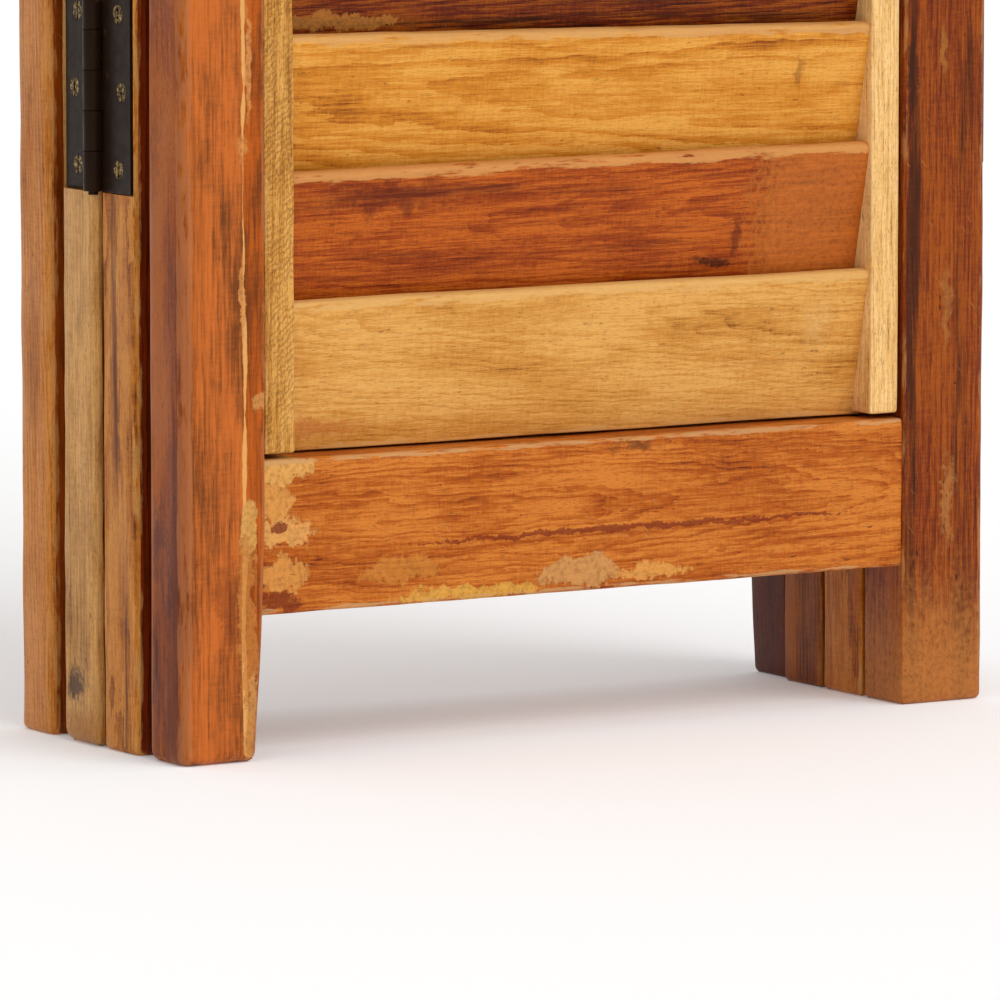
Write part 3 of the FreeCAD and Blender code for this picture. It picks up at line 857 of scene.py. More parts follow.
# ------------------------------------------------------------------ surfaces
@dataclass
class Surface:
    """A closed mesh as arrays, with what the finishes read stored on its points.

    Args:
        points: Its points, in the leaf's own frame.
        grain: Each point's distance along, across and through the timber.
        pith: Each point's place from the middle of the tree.
        arris: How near each point is to an arris, 0 to 1.
        quads: The four points of each face along its sides.
        fans: The three points of each face of its ends.
        finish: Which of the object's finishes it has.
    """

    points: np.ndarray
    grain: np.ndarray
    pith: np.ndarray
    arris: np.ndarray
    quads: np.ndarray
    fans: np.ndarray
    finish: int = 0

    @staticmethod
    def joined(parts: Sequence["Surface"]) -> tuple["Surface", np.ndarray]:
        """Several surfaces as one.

        Args:
            parts: The surfaces.

        Returns:
            The joined surface, and each face's finish, quads first.
        """
        starts = np.cumsum([0] + [len(part.points) for part in parts[:-1]])
        joined = Surface(
            *(np.concatenate([getattr(part, name) for part in parts])
              for name in ("points", "grain", "pith", "arris")),
            np.concatenate([part.quads + start for part, start in zip(parts, starts)]),
            np.concatenate([part.fans + start for part, start in zip(parts, starts)]))
        finishes = np.concatenate(
            [np.full(len(part.quads), part.finish) for part in parts]
            + [np.full(len(part.fans), part.finish) for part in parts])
        return joined, finishes


def slow_waves(rng: np.random.Generator, along: np.ndarray, around: np.ndarray) -> np.ndarray:
    """Handmade unevenness: six sine waves, each with its own seeded length, lean and phase.

    Args:
        rng: The piece's own random numbers.
        along: Distance along the piece, in metres.
        around: Share of the way round its outline, 0 to 1.

    Returns:
        The mean of the waves, 0 to 1, for every pair of the two.
    """
    lengths = rng.uniform(0.05, 0.45, 6)[:, None, None]
    turns = rng.integers(-2, 3, 6)[:, None, None]
    phases = rng.uniform(0, 2 * np.pi, 6)[:, None, None]
    waves = np.sin(2 * np.pi * (along[None, :, None] / lengths + turns * around[None, None, :])
                   + phases)
    return 0.5 + 0.5 * waves.mean(0)


LEAST_RADIUS = 0.02 * MM
NARROW_FLAT = 5 * MM
EDGE_DEPTH = 9.5 * MM
ARRIS_WEAR = 0.8
TAPER_CURVE = 1.1
SHARP_ANGLE = math.radians(38)


@dataclass(frozen=True)
class Loop:
    """A rectangle with a radius of its own at each corner, as a closed line of points.

    Args:
        low: Its lower corner, in the plane across the piece.
        high: Its upper corner.
        radii: The radii at the low-low, high-low, high-high and low-high corners.
        arc_steps: Steps in each corner.
        flat_step: The longest step on a flat.
    """

    low: tuple[float, float]
    high: tuple[float, float]
    radii: tuple[float, float, float, float]
    arc_steps: int = 6
    flat_step: float = 4 * MM

    def flat_counts(self) -> list[int]:
        """How many steps each flat has: its length over the longest step, and at least two.

        Returns:
            The counts, in the order of the corners.
        """
        width = self.high[0] - self.low[0]
        depth = self.high[1] - self.low[1]
        return [max(2, round(side / self.flat_step)) for side in (width, depth, width, depth)]

    def outline(self, inset: float) -> tuple[np.ndarray, np.ndarray, np.ndarray]:
        """The line moved inwards: arcs keep their centres while their radius lasts.

        Args:
            inset: How far the line is moved in.

        Returns:
            The points, their outward directions and how near each is to an arris, 0 to 1.
        """
        points, normals, arris = [], [], []
        signs = ((-1, -1), (1, -1), (1, 1), (-1, 1))
        corners = []
        for (sign_x, sign_y), radius in zip(signs, self.radii):
            kept = max(radius - inset, LEAST_RADIUS)
            edge_x = self.low[0] + inset if sign_x < 0 else self.high[0] - inset
            edge_y = self.low[1] + inset if sign_y < 0 else self.high[1] - inset
            corners.append((edge_x - sign_x * kept, edge_y - sign_y * kept, kept))
        for index, steps in enumerate(self.flat_counts()):
            centre_x, centre_y, kept = corners[index]
            angles = np.pi * (1.0 + 0.5 * index) + np.linspace(0, np.pi / 2, self.arc_steps + 1)
            directions = np.stack([np.cos(angles), np.sin(angles)], 1)
            arc = np.array([centre_x, centre_y]) + kept * directions
            next_x, next_y, next_kept = corners[(index + 1) % 4]
            start = np.array([next_x, next_y]) + next_kept * directions[-1]
            shares = np.linspace(0, 1, steps + 1)[1:-1, None]
            flat = arc[-1] + shares * (start - arc[-1])
            points += [arc, flat]
            normals += [directions, np.repeat(directions[-1:], steps - 1, 0)]
            short = np.linalg.norm(start - arc[-1]) < NARROW_FLAT
            arris += [np.ones(self.arc_steps + 1), np.full(steps - 1, float(short))]
        return np.concatenate(points), np.concatenate(normals), np.concatenate(arris)


class Axis(Enum):
    """Which way a bar runs: how its across, through and along map to the leaf's x, y and z."""

    UPRIGHT = (0, 1, 2)
    LEVEL = (1, 2, 0)


@dataclass(frozen=True)
class Pith:
    """Where the middle of the tree was, from the piece's middle.

    Args:
        across: How far it lies across the piece.
        through: How far it lies through the piece.
        drift_across: How fast it strays across, along the piece.
        drift_through: How fast it strays through, along the piece.
    """

    across: float
    through: float
    drift_across: float
    drift_through: float

    @staticmethod
    def drawn(rng: np.random.Generator) -> "Pith":
        """A pith at most 45 mm behind the piece, as flat-sawn timber has."""
        return Pith(rng.uniform(-30, 30) * MM, rng.uniform(0.3, 1.0) * 45 * MM,
                    rng.uniform(-0.07, 0.07) * 0.4, rng.uniform(-0.07, 0.07))


@dataclass(frozen=True)
class Mortise:
    """A shallow seat for a hinge plate in a bar's outer edge.

    Args:
        low: Its lower end.
        high: Its upper end.
        near: Where it starts, through the bar.
        far: Where it ends.
        floor: The across of its floor.
        outward: -1 if the outer edge is at the low across, 1 if it is at the high one.
    """

    low: float
    high: float
    near: float
    far: float
    floor: float
    outward: int


@dataclass
class Bar:
    """A length of timber with rounded arrises and ends.

    Args:
        loop: Its outline across the grain.
        start: Where it begins.
        end: Where it ends.
        axis: Which way it runs.
        seed: Its own random seed.
        step: The longest step along it.
        end_ease: The radius of its ends.
        uneven: How deep its unevenness goes.
        mortises: Seats cut into its outer edge.
        pith: Where its pith was, or None for a drawn one.
        edge_slip: Half the width of a mortise's wall.
        taper: How far its start is narrower: on the high side, or if negative on the low side.
        taper_height: How far up the taper goes.
    """

    loop: Loop
    start: float
    end: float
    axis: Axis
    seed: int
    step: float = 9 * MM
    end_ease: float = 2.2 * MM
    uneven: float = 0.45 * MM
    mortises: tuple[Mortise, ...] = ()
    pith: Pith | None = None
    edge_slip: float = 0.03 * MM
    taper: float = 0.0
    taper_height: float = 100 * MM

    def stations(self) -> tuple[np.ndarray, np.ndarray]:
        """Where the loops stand, and how far each is moved in for the rounded ends.

        Returns:
            The distances along the bar and the insets.
        """
        angles = np.linspace(0, np.pi / 2, 5)
        ease_along = self.end_ease * (1 - np.cos(angles))
        ease_inset = self.end_ease * (1 - np.sin(angles))
        count = max(2, math.ceil((self.end - self.start) / self.step))
        middle = np.linspace(self.start + self.end_ease, self.end - self.end_ease, count + 1)
        breaks = [place + side * self.edge_slip for cut in self.mortises
                  for place in (cut.low, cut.high) for side in (-1, 1)]
        middle = np.unique(np.concatenate([middle, breaks])) if breaks else middle
        along = np.concatenate([self.start + ease_along[:-1], middle,
                                (self.end - ease_along[:-1])[::-1]])
        inset = np.concatenate([ease_inset[:-1], np.zeros(len(middle)), ease_inset[:-1][::-1]])
        return along, inset

    def picks(self) -> tuple[np.ndarray, np.ndarray, np.ndarray]:
        """Which points of the outline are used: each one, and two at each mortise's edge.

        Returns:
            The lower point, the upper point and the share between them.
        """
        points = self.loop.outline(0.0)[0]
        count = len(points)
        spots = list(np.arange(count, dtype=float))
        for cut in self.mortises[:1]:
            for edge in (cut.near, cut.far):
                outer = np.abs(points[:, 0] - (self.loop.low[0] if cut.outward < 0
                                               else self.loop.high[0])) < EDGE_DEPTH
                following = np.roll(points, -1, 0)
                for side in (-1, 1):
                    place = edge + side * self.edge_slip
                    crossing = (points[:, 1] - place) * (following[:, 1] - place) < 0
                    for index in np.flatnonzero(crossing & outer & np.roll(outer, -1)):
                        share = (place - points[index, 1]) / (following[index, 1]
                                                              - points[index, 1])
                        spots.append(index + share)
        spots = np.sort(np.array(spots))
        lower = np.floor(spots).astype(int)
        return lower % count, (lower + 1) % count, spots - lower

    def surface(self, finish: int = 0) -> Surface:
        """Carry the loop along the axis and close both ends.

        The unevenness only takes timber away, along each point's outward direction.

        Args:
            finish: Which of the object's finishes it has.

        Returns:
            The closed surface, in the leaf's own frame.
        """
        rng = np.random.default_rng(self.seed)
        pith = self.pith or Pith.drawn(rng)
        offset = rng.uniform(0.0, 4.0, 3)
        along, insets = self.stations()
        lower, upper, share = self.picks()
        loops = [self.loop.outline(inset) for inset in insets]
        outlines, normals = (
            np.stack([part[which][lower] * (1 - share[:, None]) + part[which][upper]
                      * share[:, None] for part in loops]) for which in (0, 1))
        arris = loops[0][2][lower] * (1 - share) + loops[0][2][upper] * share
        around = np.arange(len(share)) / len(share)
        worn = slow_waves(rng, along, around) * self.uneven
        worn += arris[None] * slow_waves(rng, along * 3, around) * self.uneven * ARRIS_WEAR
        outlines = outlines - normals * worn[:, :, None]
        if self.taper:
            fall = np.clip(1 - (along - self.start) / self.taper_height, 0, 1) ** TAPER_CURVE
            side = self.loop.low[0] if self.taper > 0 else self.loop.high[0]
            outlines[:, :, 0] -= (self.taper * fall[:, None] * np.abs(outlines[:, :, 0] - side)
                                  / (self.loop.high[0] - self.loop.low[0]))
        for cut in self.mortises:
            seated = ((along > cut.low) & (along < cut.high))[:, None] \
                & ((outlines[:, :, 1] > cut.near) & (outlines[:, :, 1] < cut.far))
            floor = np.minimum if cut.outward > 0 else np.maximum
            cut_across = floor(outlines[:, :, 0], cut.floor)
            outlines[:, :, 0] = np.where(seated, cut_across, outlines[:, :, 0])
        rows, columns = outlines.shape[:2]
        local = np.concatenate([outlines, np.broadcast_to(along[:, None, None],
                                                          (rows, columns, 1))], 2)
        ends = local[[0, -1]].mean(1)
        local = np.concatenate([local.reshape(-1, 3), ends])
        arris = np.concatenate([np.tile(arris, rows), [0.0, 0.0]])
        near_end = np.minimum(local[:, 2] - self.start, self.end - local[:, 2])
        arris = np.maximum(arris, np.clip(1 - near_end / (2.5 * self.end_ease), 0, 1)
                           * (near_end > 0.2 * self.end_ease))
        centre = np.array([(self.loop.low[0] + self.loop.high[0]) / 2,
                           (self.loop.low[1] + self.loop.high[1]) / 2,
                           (self.start + self.end) / 2])
        across, through, run = (local - centre).T
        if self.axis is Axis.LEVEL:
            across, through = through, across
        rings = np.stack([run, across - pith.across + pith.drift_across * run,
                          through + pith.through + pith.drift_through * run], 1)
        grain = np.stack([run, across, through], 1) + offset
        points = np.empty_like(local)
        points[:, list(self.axis.value)] = local
        first = np.arange(rows - 1)[:, None] * columns + np.arange(columns)
        second = np.arange(rows - 1)[:, None] * columns + (np.arange(columns) + 1) % columns
        quads = np.stack([first, second, second + columns, first + columns], 2).reshape(-1, 4)
        ring = np.arange(columns)
        turned = (ring + 1) % columns
        last = (rows - 1) * columns
        poles = rows * columns
        fans = np.concatenate([
            np.stack([np.full(columns, poles), turned, ring], 1),
            np.stack([np.full(columns, poles + 1), last + ring, last + turned], 1)])
        return Surface(points, grain, rings, arris, quads, fans, finish)


# ------------------------------------------------------------------ where the leaves stand
@dataclass(frozen=True)
class LeafFrame:
    """A leaf's own frame: x from its left edge, y from its front face, z from the floor.

    Args:
        leaf: The leaf's number.
        origin: Its corner on the floor.
        turn: Its turn about the upright axis, in radians.
    """

    leaf: int
    origin: tuple[float, float]
    turn: float

    def placed(self, points: np.ndarray) -> np.ndarray:
        """Turn points about the upright axis, then move them to the leaf's corner.

        Args:
            points: Points in the leaf's own frame.

        Returns:
            The same points in the screen's frame.
        """
        cosine, sine = math.cos(self.turn), math.sin(self.turn)
        across, through, height = points.T
        return np.stack([self.origin[0] + across * cosine - through * sine,
                         self.origin[1] + across * sine + through * cosine, height], 1)

    @property
    def body(self) -> str:
        """The name of the body that the leaf is."""
        return f"leaf_{self.leaf}"


@dataclass
class ScreenPlan:
    """The driving sizes, read from the first leaf, and where every leaf stands.

    Args:
        slat_height: How tall a slat's front face is.
        slat_thickness: How thick a slat is.
        least_slat_step: The least distance from one slat to the next.
        stile_round: The radius of a free stile's outer arrises.
        hinged_round: The radius of a hinged stile's outer arrises.
    """

    slat_height: float = 67.5 * MM
    slat_thickness: float = 8 * MM
    least_slat_step: float = 57.15 * MM
    stile_round: float = 5 * MM
    hinged_round: float = 3.5 * MM

    def __post_init__(self) -> None:
        """Read the frame's boxes and joints."""
        low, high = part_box("leaf_1_left_stile")
        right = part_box("leaf_1_right_stile")
        self.width = right[1].x - low.x
        self.height = high.z - low.z
        self.thickness = high.y - low.y
        self.left_stile = high.x - low.x
        self.right_stile = right[1].x - right[0].x
        self.corner = low
        slats = self.local_box("leaf_1_slats")
        self.slat_front = slats[0][1]
        self.slat_foot = slats[0][2]
        self.slat_ends = (slats[0][0], slats[1][0])
        depth = slats[1][1] - slats[0][1]
        self.lean = 0.0
        for _ in range(20):
            run = depth - self.slat_thickness * math.cos(self.lean)
            self.lean = math.atan2(run, self.slat_height)
        tall = self.slat_height + self.slat_thickness * math.sin(self.lean)
        rise = slats[1][2] - slats[0][2] - tall
        self.slat_count = math.floor(rise / self.least_slat_step) + 1
        self.slat_step = rise / (self.slat_count - 1)
        self.frames = self.leaf_frames()

    def local_box(self, node: str) -> tuple[Vector, Vector]:
        """A node of the first leaf, whose frame isn't turned, in that leaf's frame."""
        low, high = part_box(node)
        return low - self.corner, high - self.corner

    def leaf_frames(self) -> dict[int, LeafFrame]:
        """Follow the hinge pins from leaf to leaf.

        Returns:
            Every leaf's frame, by its number.
        """
        pins = {joint["child"]: joint for joint in frame["joints"]}
        found = {1: LeafFrame(1, (self.corner.x, self.corner.y), 0.0)}
        first_pin = pins["leaf_2"]["pos_m"]
        self.pin_outset = first_pin[0] - self.corner.x - self.width
        self.pin_gap = first_pin[1] - self.corner.y - self.thickness
        turn = 0.0
        for leaf in LEAVES[1:]:
            joint = pins[f"leaf_{leaf}"]
            turn += math.radians(-joint["range_deg"][0]) * joint["axis"][2]
            at_right = leaf % 2 == 0
            across = self.width + self.pin_outset if at_right else -self.pin_outset
            cosine, sine = math.cos(turn), math.sin(turn)
            pin_x, pin_y = joint["pos_m"][:2]
            origin = (pin_x - across * cosine - self.pin_gap * sine,
                      pin_y - across * sine + self.pin_gap * cosine)
            found[leaf] = LeafFrame(leaf, origin, turn)
        return found


def piece_seed(kind: int, leaf: int, second: bool) -> int:
    """A seed for each piece, from its kind's hundred, its leaf and which of two it is."""
    return kind + leaf * 10 + second


def make_object(name: str, parts: Sequence[Surface], leaf: LeafFrame,
                finishes: Sequence[bpy.types.Material]) -> bpy.types.Object:
    """Turn surfaces of one leaf into a finished object that stands for its node.

    Args:
        name: The node that the piece stands for.
        parts: Its surfaces, in the leaf's frame.
        leaf: The leaf it belongs to.
        finishes: Its materials.

    Returns:
        The new object.
    """
    surface, indices = Surface.joined(parts)
    mesh = bpy.data.meshes.new(f"{name}.timber")
    faces = surface.quads.tolist() + surface.fans.tolist()
    mesh.from_pydata(leaf.placed(surface.points), [], faces)
    place = surface.points + np.array([0.0, leaf.leaf * LEAF_STEP, 0.0])
    for title, values in (("grain", surface.grain), ("pith", surface.pith), ("place", place)):
        stored = mesh.attributes.new(title, "FLOAT_VECTOR", "POINT")
        stored.data.foreach_set("vector", values.astype(np.float32).ravel())
    stored = mesh.attributes.new("arris", "FLOAT", "POINT")
    stored.data.foreach_set("value", surface.arris.astype(np.float32))
    for finish in finishes:
        mesh.materials.append(finish)
    mesh.polygons.foreach_set("material_index", indices.astype(np.int32))
    mesh.polygons.foreach_set("use_smooth", np.ones(len(faces), bool))
    mesh.set_sharp_from_angle(angle=SHARP_ANGLE)
    mesh.update()
    piece = bpy.data.objects.new(f"{name}.look", mesh)
    bpy.context.scene.collection.objects.link(piece)
    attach(piece, leaf.body)
    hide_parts(name)
    LOG.info("%s: %d faces on %s", piece.name, len(faces), leaf.body)
    return piece


# ------------------------------------------------------------------ the timbers of each piece
STILE_FINISHES = {
    (1, "left"): WoodFinish(
        "stile_1_left_wood", paint(168, 92, 42), paint(142, 72, 32), paint(84, 36, 16),
        worn=paint(176, 112, 76), rings=0.25, streaks=0.6, cover=0.53, wear=0.2, fibres=2.2,
        blotches=3.2, wear_amount=0.6, bands=(
            # The first band is painted light and shade. The side face keeps the darker colours
            # because less light falls on it, and the front face from 1.2 mm across is lighter. The
            # second band is a real glue line with filler.
            (1.2, paint(177, 97, 52), 0.0), (30.5, paint(167, 85, 40), 0.95)), spots=(
            Spot(1, 34, 103, 4.5, 13, paint(210, 156, 88), 0.9, 7),
            Spot(1, 33, 62, 5, 40, paint(196, 126, 66), 0.7, 9),
            Spot(1, 34, 306, 1.7, 30, paint(212, 144, 84), 0.8, 4, 0.4),
            Spot(1, 31, 269, 3.4, 7, paint(206, 136, 76), 0.75, 6, 0.5),
            Spot(1, 31, 203, 1.6, 20, paint(212, 144, 84), 0.8, 4, 0.4),
            Spot(1, 22, 70, 6, 34, paint(120, 58, 26), 0.5, 12, 0.9),
            Spot(1, 35, 20, 3, 20, paint(204, 146, 84), 0.75, 7),
            Spot(1, 0, 96, 8, 22, paint(84, 42, 24), 0.6, 14, 0.7, 22, 10),
            Spot(1, 0, 262, 6, 40, paint(104, 56, 32), 0.4, 12, 0.8, 26, 8),
            Spot(1, 40, 158, 6, 5, paint(206, 146, 86), 0.75, 7))),
    (1, "right"): WoodFinish(
        "stile_1_right_wood", paint(160, 84, 40), paint(116, 54, 26), paint(52, 22, 12),
        worn=paint(186, 134, 84), rings=0.3, streaks=0.75, cover=0.52, wear=0.02, knocks=0.9,
        fibres=2.4, spots=(
            Spot(1, 400, -10, 70, 84, paint(190, 122, 68), 0.75, 16, 0.7),
            Spot(1, 401, 300, 3, 14, paint(176, 116, 60), 0.6, 8, 0.5),
            Spot(1, 384, 286, 4, 20, paint(58, 28, 20), 0.6, 9, 0.5),
            Spot(1, 403, 180, 3, 26, paint(176, 118, 66), 0.5, 9, 0.6),
            Spot(1, 404, 92, 4, 30, paint(186, 132, 78), 0.5, 12, 0.7))),
    (2, "left"): WoodFinish(
        "stile_2_left_wood", paint(206, 138, 68), paint(184, 112, 50), paint(92, 48, 22),
        worn=paint(214, 160, 96), rings=0.6, streaks=0.9, cover=0.53, spacing=2.2,
        # Painted shade: from 0.6 mm across, the front face is coloured dark because it lies in shade
        # in the narrow gap behind leaf 1. There is no glue line.
        bands=((0.6, paint(124, 56, 22), 0.0),)),
    (2, "right"): WoodFinish(
        "stile_2_right_wood", paint(206, 132, 62), paint(174, 98, 40), paint(92, 44, 18),
        worn=paint(206, 158, 104), streaks=0.5),
    (3, "left"): WoodFinish(
        "stile_3_left_wood", paint(214, 160, 98), paint(184, 132, 74), paint(108, 66, 32),
        worn=paint(198, 152, 98), rings=0.25, streaks=0.6, pores=0.5, blotches=2.2,
        # Painted shade: from 0.6 mm across, the front face is coloured dark because it lies in shade
        # where it meets leaf 2. There is no glue line.
        bands=((0.6, paint(116, 60, 28), 0.0),), spots=(
            Spot(3, -2, 26, 16, 9, KNOT, 0.85, 14, 0.6, 20, 12),
            Spot(3, -2, 5, 20, 13, paint(170, 110, 54), 0.6, 9, 0.5, 16, 26),
            Spot(3, -2, 190, 10, 14, paint(120, 88, 58), 0.4, 9, 0.9, 14, 6))),
    (3, "right"): WoodFinish(
        "stile_3_right_wood", paint(166, 94, 36), paint(126, 66, 24), paint(62, 28, 12),
        streaks=0.6, blotches=2.4, worn=paint(172, 122, 72)),
    (4, "left"): WoodFinish(
        "stile_4_left_wood", paint(208, 136, 70), paint(178, 106, 46), paint(104, 54, 22),
        worn=paint(206, 150, 92), rings=0.4, streaks=0.5, spacing=2.4,
        # Painted shade: the front face is coloured dark because it lies in shade in the gap behind
        # leaf 3. The side face stays pale, and there is no glue line.
        bands=((0.0, paint(138, 70, 26), 0.0),)),
    (4, "right"): WoodFinish(
        "stile_4_right_wood", paint(108, 50, 20), paint(76, 33, 13), paint(36, 14, 6),
        worn=paint(140, 90, 54), streaks=0.6),
}

RAIL_FINISHES = {
    1: WoodFinish(
        "rail_1_wood", paint(208, 126, 60), paint(172, 88, 38), paint(98, 38, 16),
        worn=paint(200, 152, 104), rings=0.42, wander=16, streaks=0.5, spacing=2.8,
        cover=0.58, wear=0.14, wear_amount=0.75, knocks=0.7, blotches=1.9, spots=(
            Spot(1, 52, 127.5, 21, 6, paint(222, 164, 92), 0.92, 12),
            Spot(1, 46, 114, 12, 9, paint(218, 152, 82), 0.9, 9),
            Spot(1, 52, 99, 15, 8, paint(222, 160, 92), 0.9, 13),
            Spot(1, 51, 80, 14, 8, paint(214, 146, 78), 0.88, 11),
            Spot(1, 50, 102, 5, 3, paint(124, 44, 20), 0.8, 6),
            Spot(1, 48, 69, 13, 4, paint(112, 46, 22), 0.7, 9),
            Spot(1, 112, 80, 23, 6.5, paint(206, 136, 66), 0.6, 12),
            Spot(1, 147, 67.5, 40, 3.4, paint(220, 164, 78), 0.85, 8),
            Spot(1, 205, 72.5, 23, 6.5, paint(206, 150, 92), 0.85, 12),
            Spot(1, 243, 71, 23, 3, paint(224, 158, 84), 0.8, 7),
            Spot(1, 236, 126, 15, 4, paint(56, 30, 26), 0.6, 13, 0.8),
            Spot(1, 236, 91, 118, 1.3, paint(118, 40, 18), 0.7, 5))),
    2: WoodFinish("rail_2_wood", paint(178, 104, 54), paint(146, 76, 38), paint(80, 38, 21)),
    3: WoodFinish("rail_3_wood", paint(200, 142, 80), paint(174, 112, 58), paint(106, 60, 31),
                  rings=0.55),
    4: WoodFinish("rail_4_wood", paint(162, 92, 48), paint(128, 66, 33), paint(70, 33, 20)),
}

STRIP_FINISHES = {
    (1, "left"): WoodFinish(
        "strip_1_left_wood", paint(222, 166, 92), paint(192, 134, 66), paint(118, 68, 30),
        worn=paint(218, 170, 106), fibres=2.2, rings=0.3, saw=0.66, sheen=(0.42, 0.62),
        relief=0.6, pores=0.6),
    (1, "right"): WoodFinish(
        "strip_1_right_wood", paint(246, 204, 142), paint(228, 178, 110), paint(166, 112, 60),
        worn=paint(230, 190, 134), fibres=2.8, rings=0.3, streaks=0.5, saw=0.45,
        sheen=(0.38, 0.56)),
    (2, "left"): WoodFinish(
        "strip_2_left_wood", paint(118, 56, 26), paint(88, 38, 17), paint(46, 20, 11),
        worn=paint(150, 92, 52), saw=0.4),
    (2, "right"): WoodFinish(
        "strip_2_right_wood", paint(200, 148, 90), paint(178, 122, 68), paint(110, 68, 37),
        saw=0.5),
    (3, "left"): WoodFinish(
        "strip_3_left_wood", paint(172, 110, 62), paint(142, 84, 44), paint(80, 44, 24),
        saw=0.5),
    (3, "right"): WoodFinish(
        "strip_3_right_wood", paint(208, 160, 100), paint(188, 136, 78), paint(122, 78, 41),
        saw=0.55),
    (4, "left"): WoodFinish(
        "strip_4_left_wood", paint(150, 84, 41), paint(118, 60, 26), paint(62, 28, 14),
        worn=paint(172, 116, 70), rings=0.6, spacing=2.4, saw=0.4),
    (4, "right"): WoodFinish(
        "strip_4_right_wood", paint(192, 142, 88), paint(166, 112, 64), paint(100, 60, 33),
        saw=0.5),
}

HINGE_IRON = IronFinish("hinge_black_iron", paint(52, 45, 41), paint(92, 72, 58), cover=0.6,
                        sheen=(0.28, 0.46))
SCREW_STEEL = IronFinish("screw_worn_steel", paint(50, 42, 34), paint(184, 154, 104), cover=0.42,
                         sheen=(0.34, 0.5), grain=3.6)


# ------------------------------------------------------------------ the screen's pieces
@dataclass
class Stile:
    """One upright of a leaf, with its hinge seats.

    Args:
        plan: The screen's sizes.
        leaf: The leaf it belongs to.
        side: Which side of the leaf it is on.
        seat_face: The face that its hinge seats open to, or None where it has no hinge.
        inner_round: The radius of its arrises towards the slats.
        seat_depth: How deep a hinge seat is.
        seat_rim: The timber left beside a plate.
        seat_clearance: The gap round a plate.
        foot_ease: The radius round its foot.
        taper: How far its foot is narrower, on its inner side.
        proud: How far its outer edge stands out.
    """

    plan: ScreenPlan
    leaf: LeafFrame
    side: str
    seat_face: str | None
    inner_round: float = 1.8 * MM
    seat_depth: float = 2 * MM
    seat_rim: float = 3 * MM
    seat_clearance: float = 0.5 * MM
    foot_ease: float = 3 * MM
    taper: float = 0.0
    proud: float = 0.0

    @property
    def name(self) -> str:
        """The node's name."""
        return f"leaf_{self.leaf.leaf}_{self.side}_stile"

    def seats(self) -> tuple[Mortise, ...]:
        """The hinge seats: as high as each plate, from its rim to past the open face.

        Returns:
            The three mortises, or none.
        """
        if self.seat_face is None:
            return ()
        thickness = self.plan.thickness
        rim = self.seat_rim - self.seat_clearance
        near, far = (-MM, thickness - rim) if self.seat_face == "front" else (rim, thickness + MM)
        outward = -1 if self.side == "left" else 1
        floor = self.seat_depth if outward < 0 else self.plan.width - self.seat_depth
        boxes = [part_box(f"hinge_1_2_{level}_front_plate") for level in LEVELS]
        return tuple(Mortise(low.z - self.seat_clearance, high.z + self.seat_clearance, near, far,
                             floor, outward) for low, high in boxes)

    def build(self, effects: Effects) -> bpy.types.Object:
        """Make the stile.

        Args:
            effects: The shared effects.

        Returns:
            The finished object.
        """
        outer = self.plan.stile_round if self.seat_face is None else self.plan.hinged_round
        inner = self.inner_round
        if self.side == "left":
            low, high = -self.proud, self.plan.left_stile
            radii = (outer, inner, inner, outer)
        else:
            low, high = self.plan.width - self.plan.right_stile, self.plan.width
            radii = (inner, outer, outer, inner)
        bar = Bar(Loop((low, 0.0), (high, self.plan.thickness), radii), 0.0, self.plan.height,
                  Axis.UPRIGHT, piece_seed(100, self.leaf.leaf, self.side == "right"),
                  end_ease=self.foot_ease, uneven=0.7 * MM, mortises=self.seats(),
                  taper=self.taper if self.side == "left" else -self.taper)
        finish = STILE_FINISHES[self.leaf.leaf, self.side].material(effects)
        piece = make_object(self.name, [bar.surface()], self.leaf, [finish])
        return piece


@dataclass
class Rail:
    """The bottom or top rail of a leaf, let a little into both stiles.

    Args:
        plan: The screen's sizes.
        leaf: The leaf it belongs to.
        level: Whether it is the bottom or the top one.
        let_in: How far its ends go into the stiles.
        arris_round: The radius of its arrises.
    """

    plan: ScreenPlan
    leaf: LeafFrame
    level: str
    let_in: float = 4 * MM
    arris_round: float = 2.2 * MM

    def build(self, finish: bpy.types.Material) -> bpy.types.Object:
        """Make the rail.

        Args:
            finish: Its material.

        Returns:
            The finished object.
        """
        low, high = self.plan.local_box(f"leaf_1_{self.level}_rail")
        seed = piece_seed(200, self.leaf.leaf, self.level == "top")
        rng = np.random.default_rng(seed)
        pith = Pith(rng.uniform(-8, 8) * MM, rng.uniform(14, 24) * MM, 0.02, 0.085)
        bar = Bar(Loop((low.y, low.z), (high.y, high.z), (self.arris_round,) * 4),
                  self.plan.left_stile - self.let_in,
                  self.plan.width - self.plan.right_stile + self.let_in, Axis.LEVEL, seed,
                  uneven=0.6 * MM, end_ease=0.5 * MM, pith=pith)
        name = f"leaf_{self.leaf.leaf}_{self.level}_rail"
        piece = make_object(name, [bar.surface()], self.leaf, [finish])
        return piece


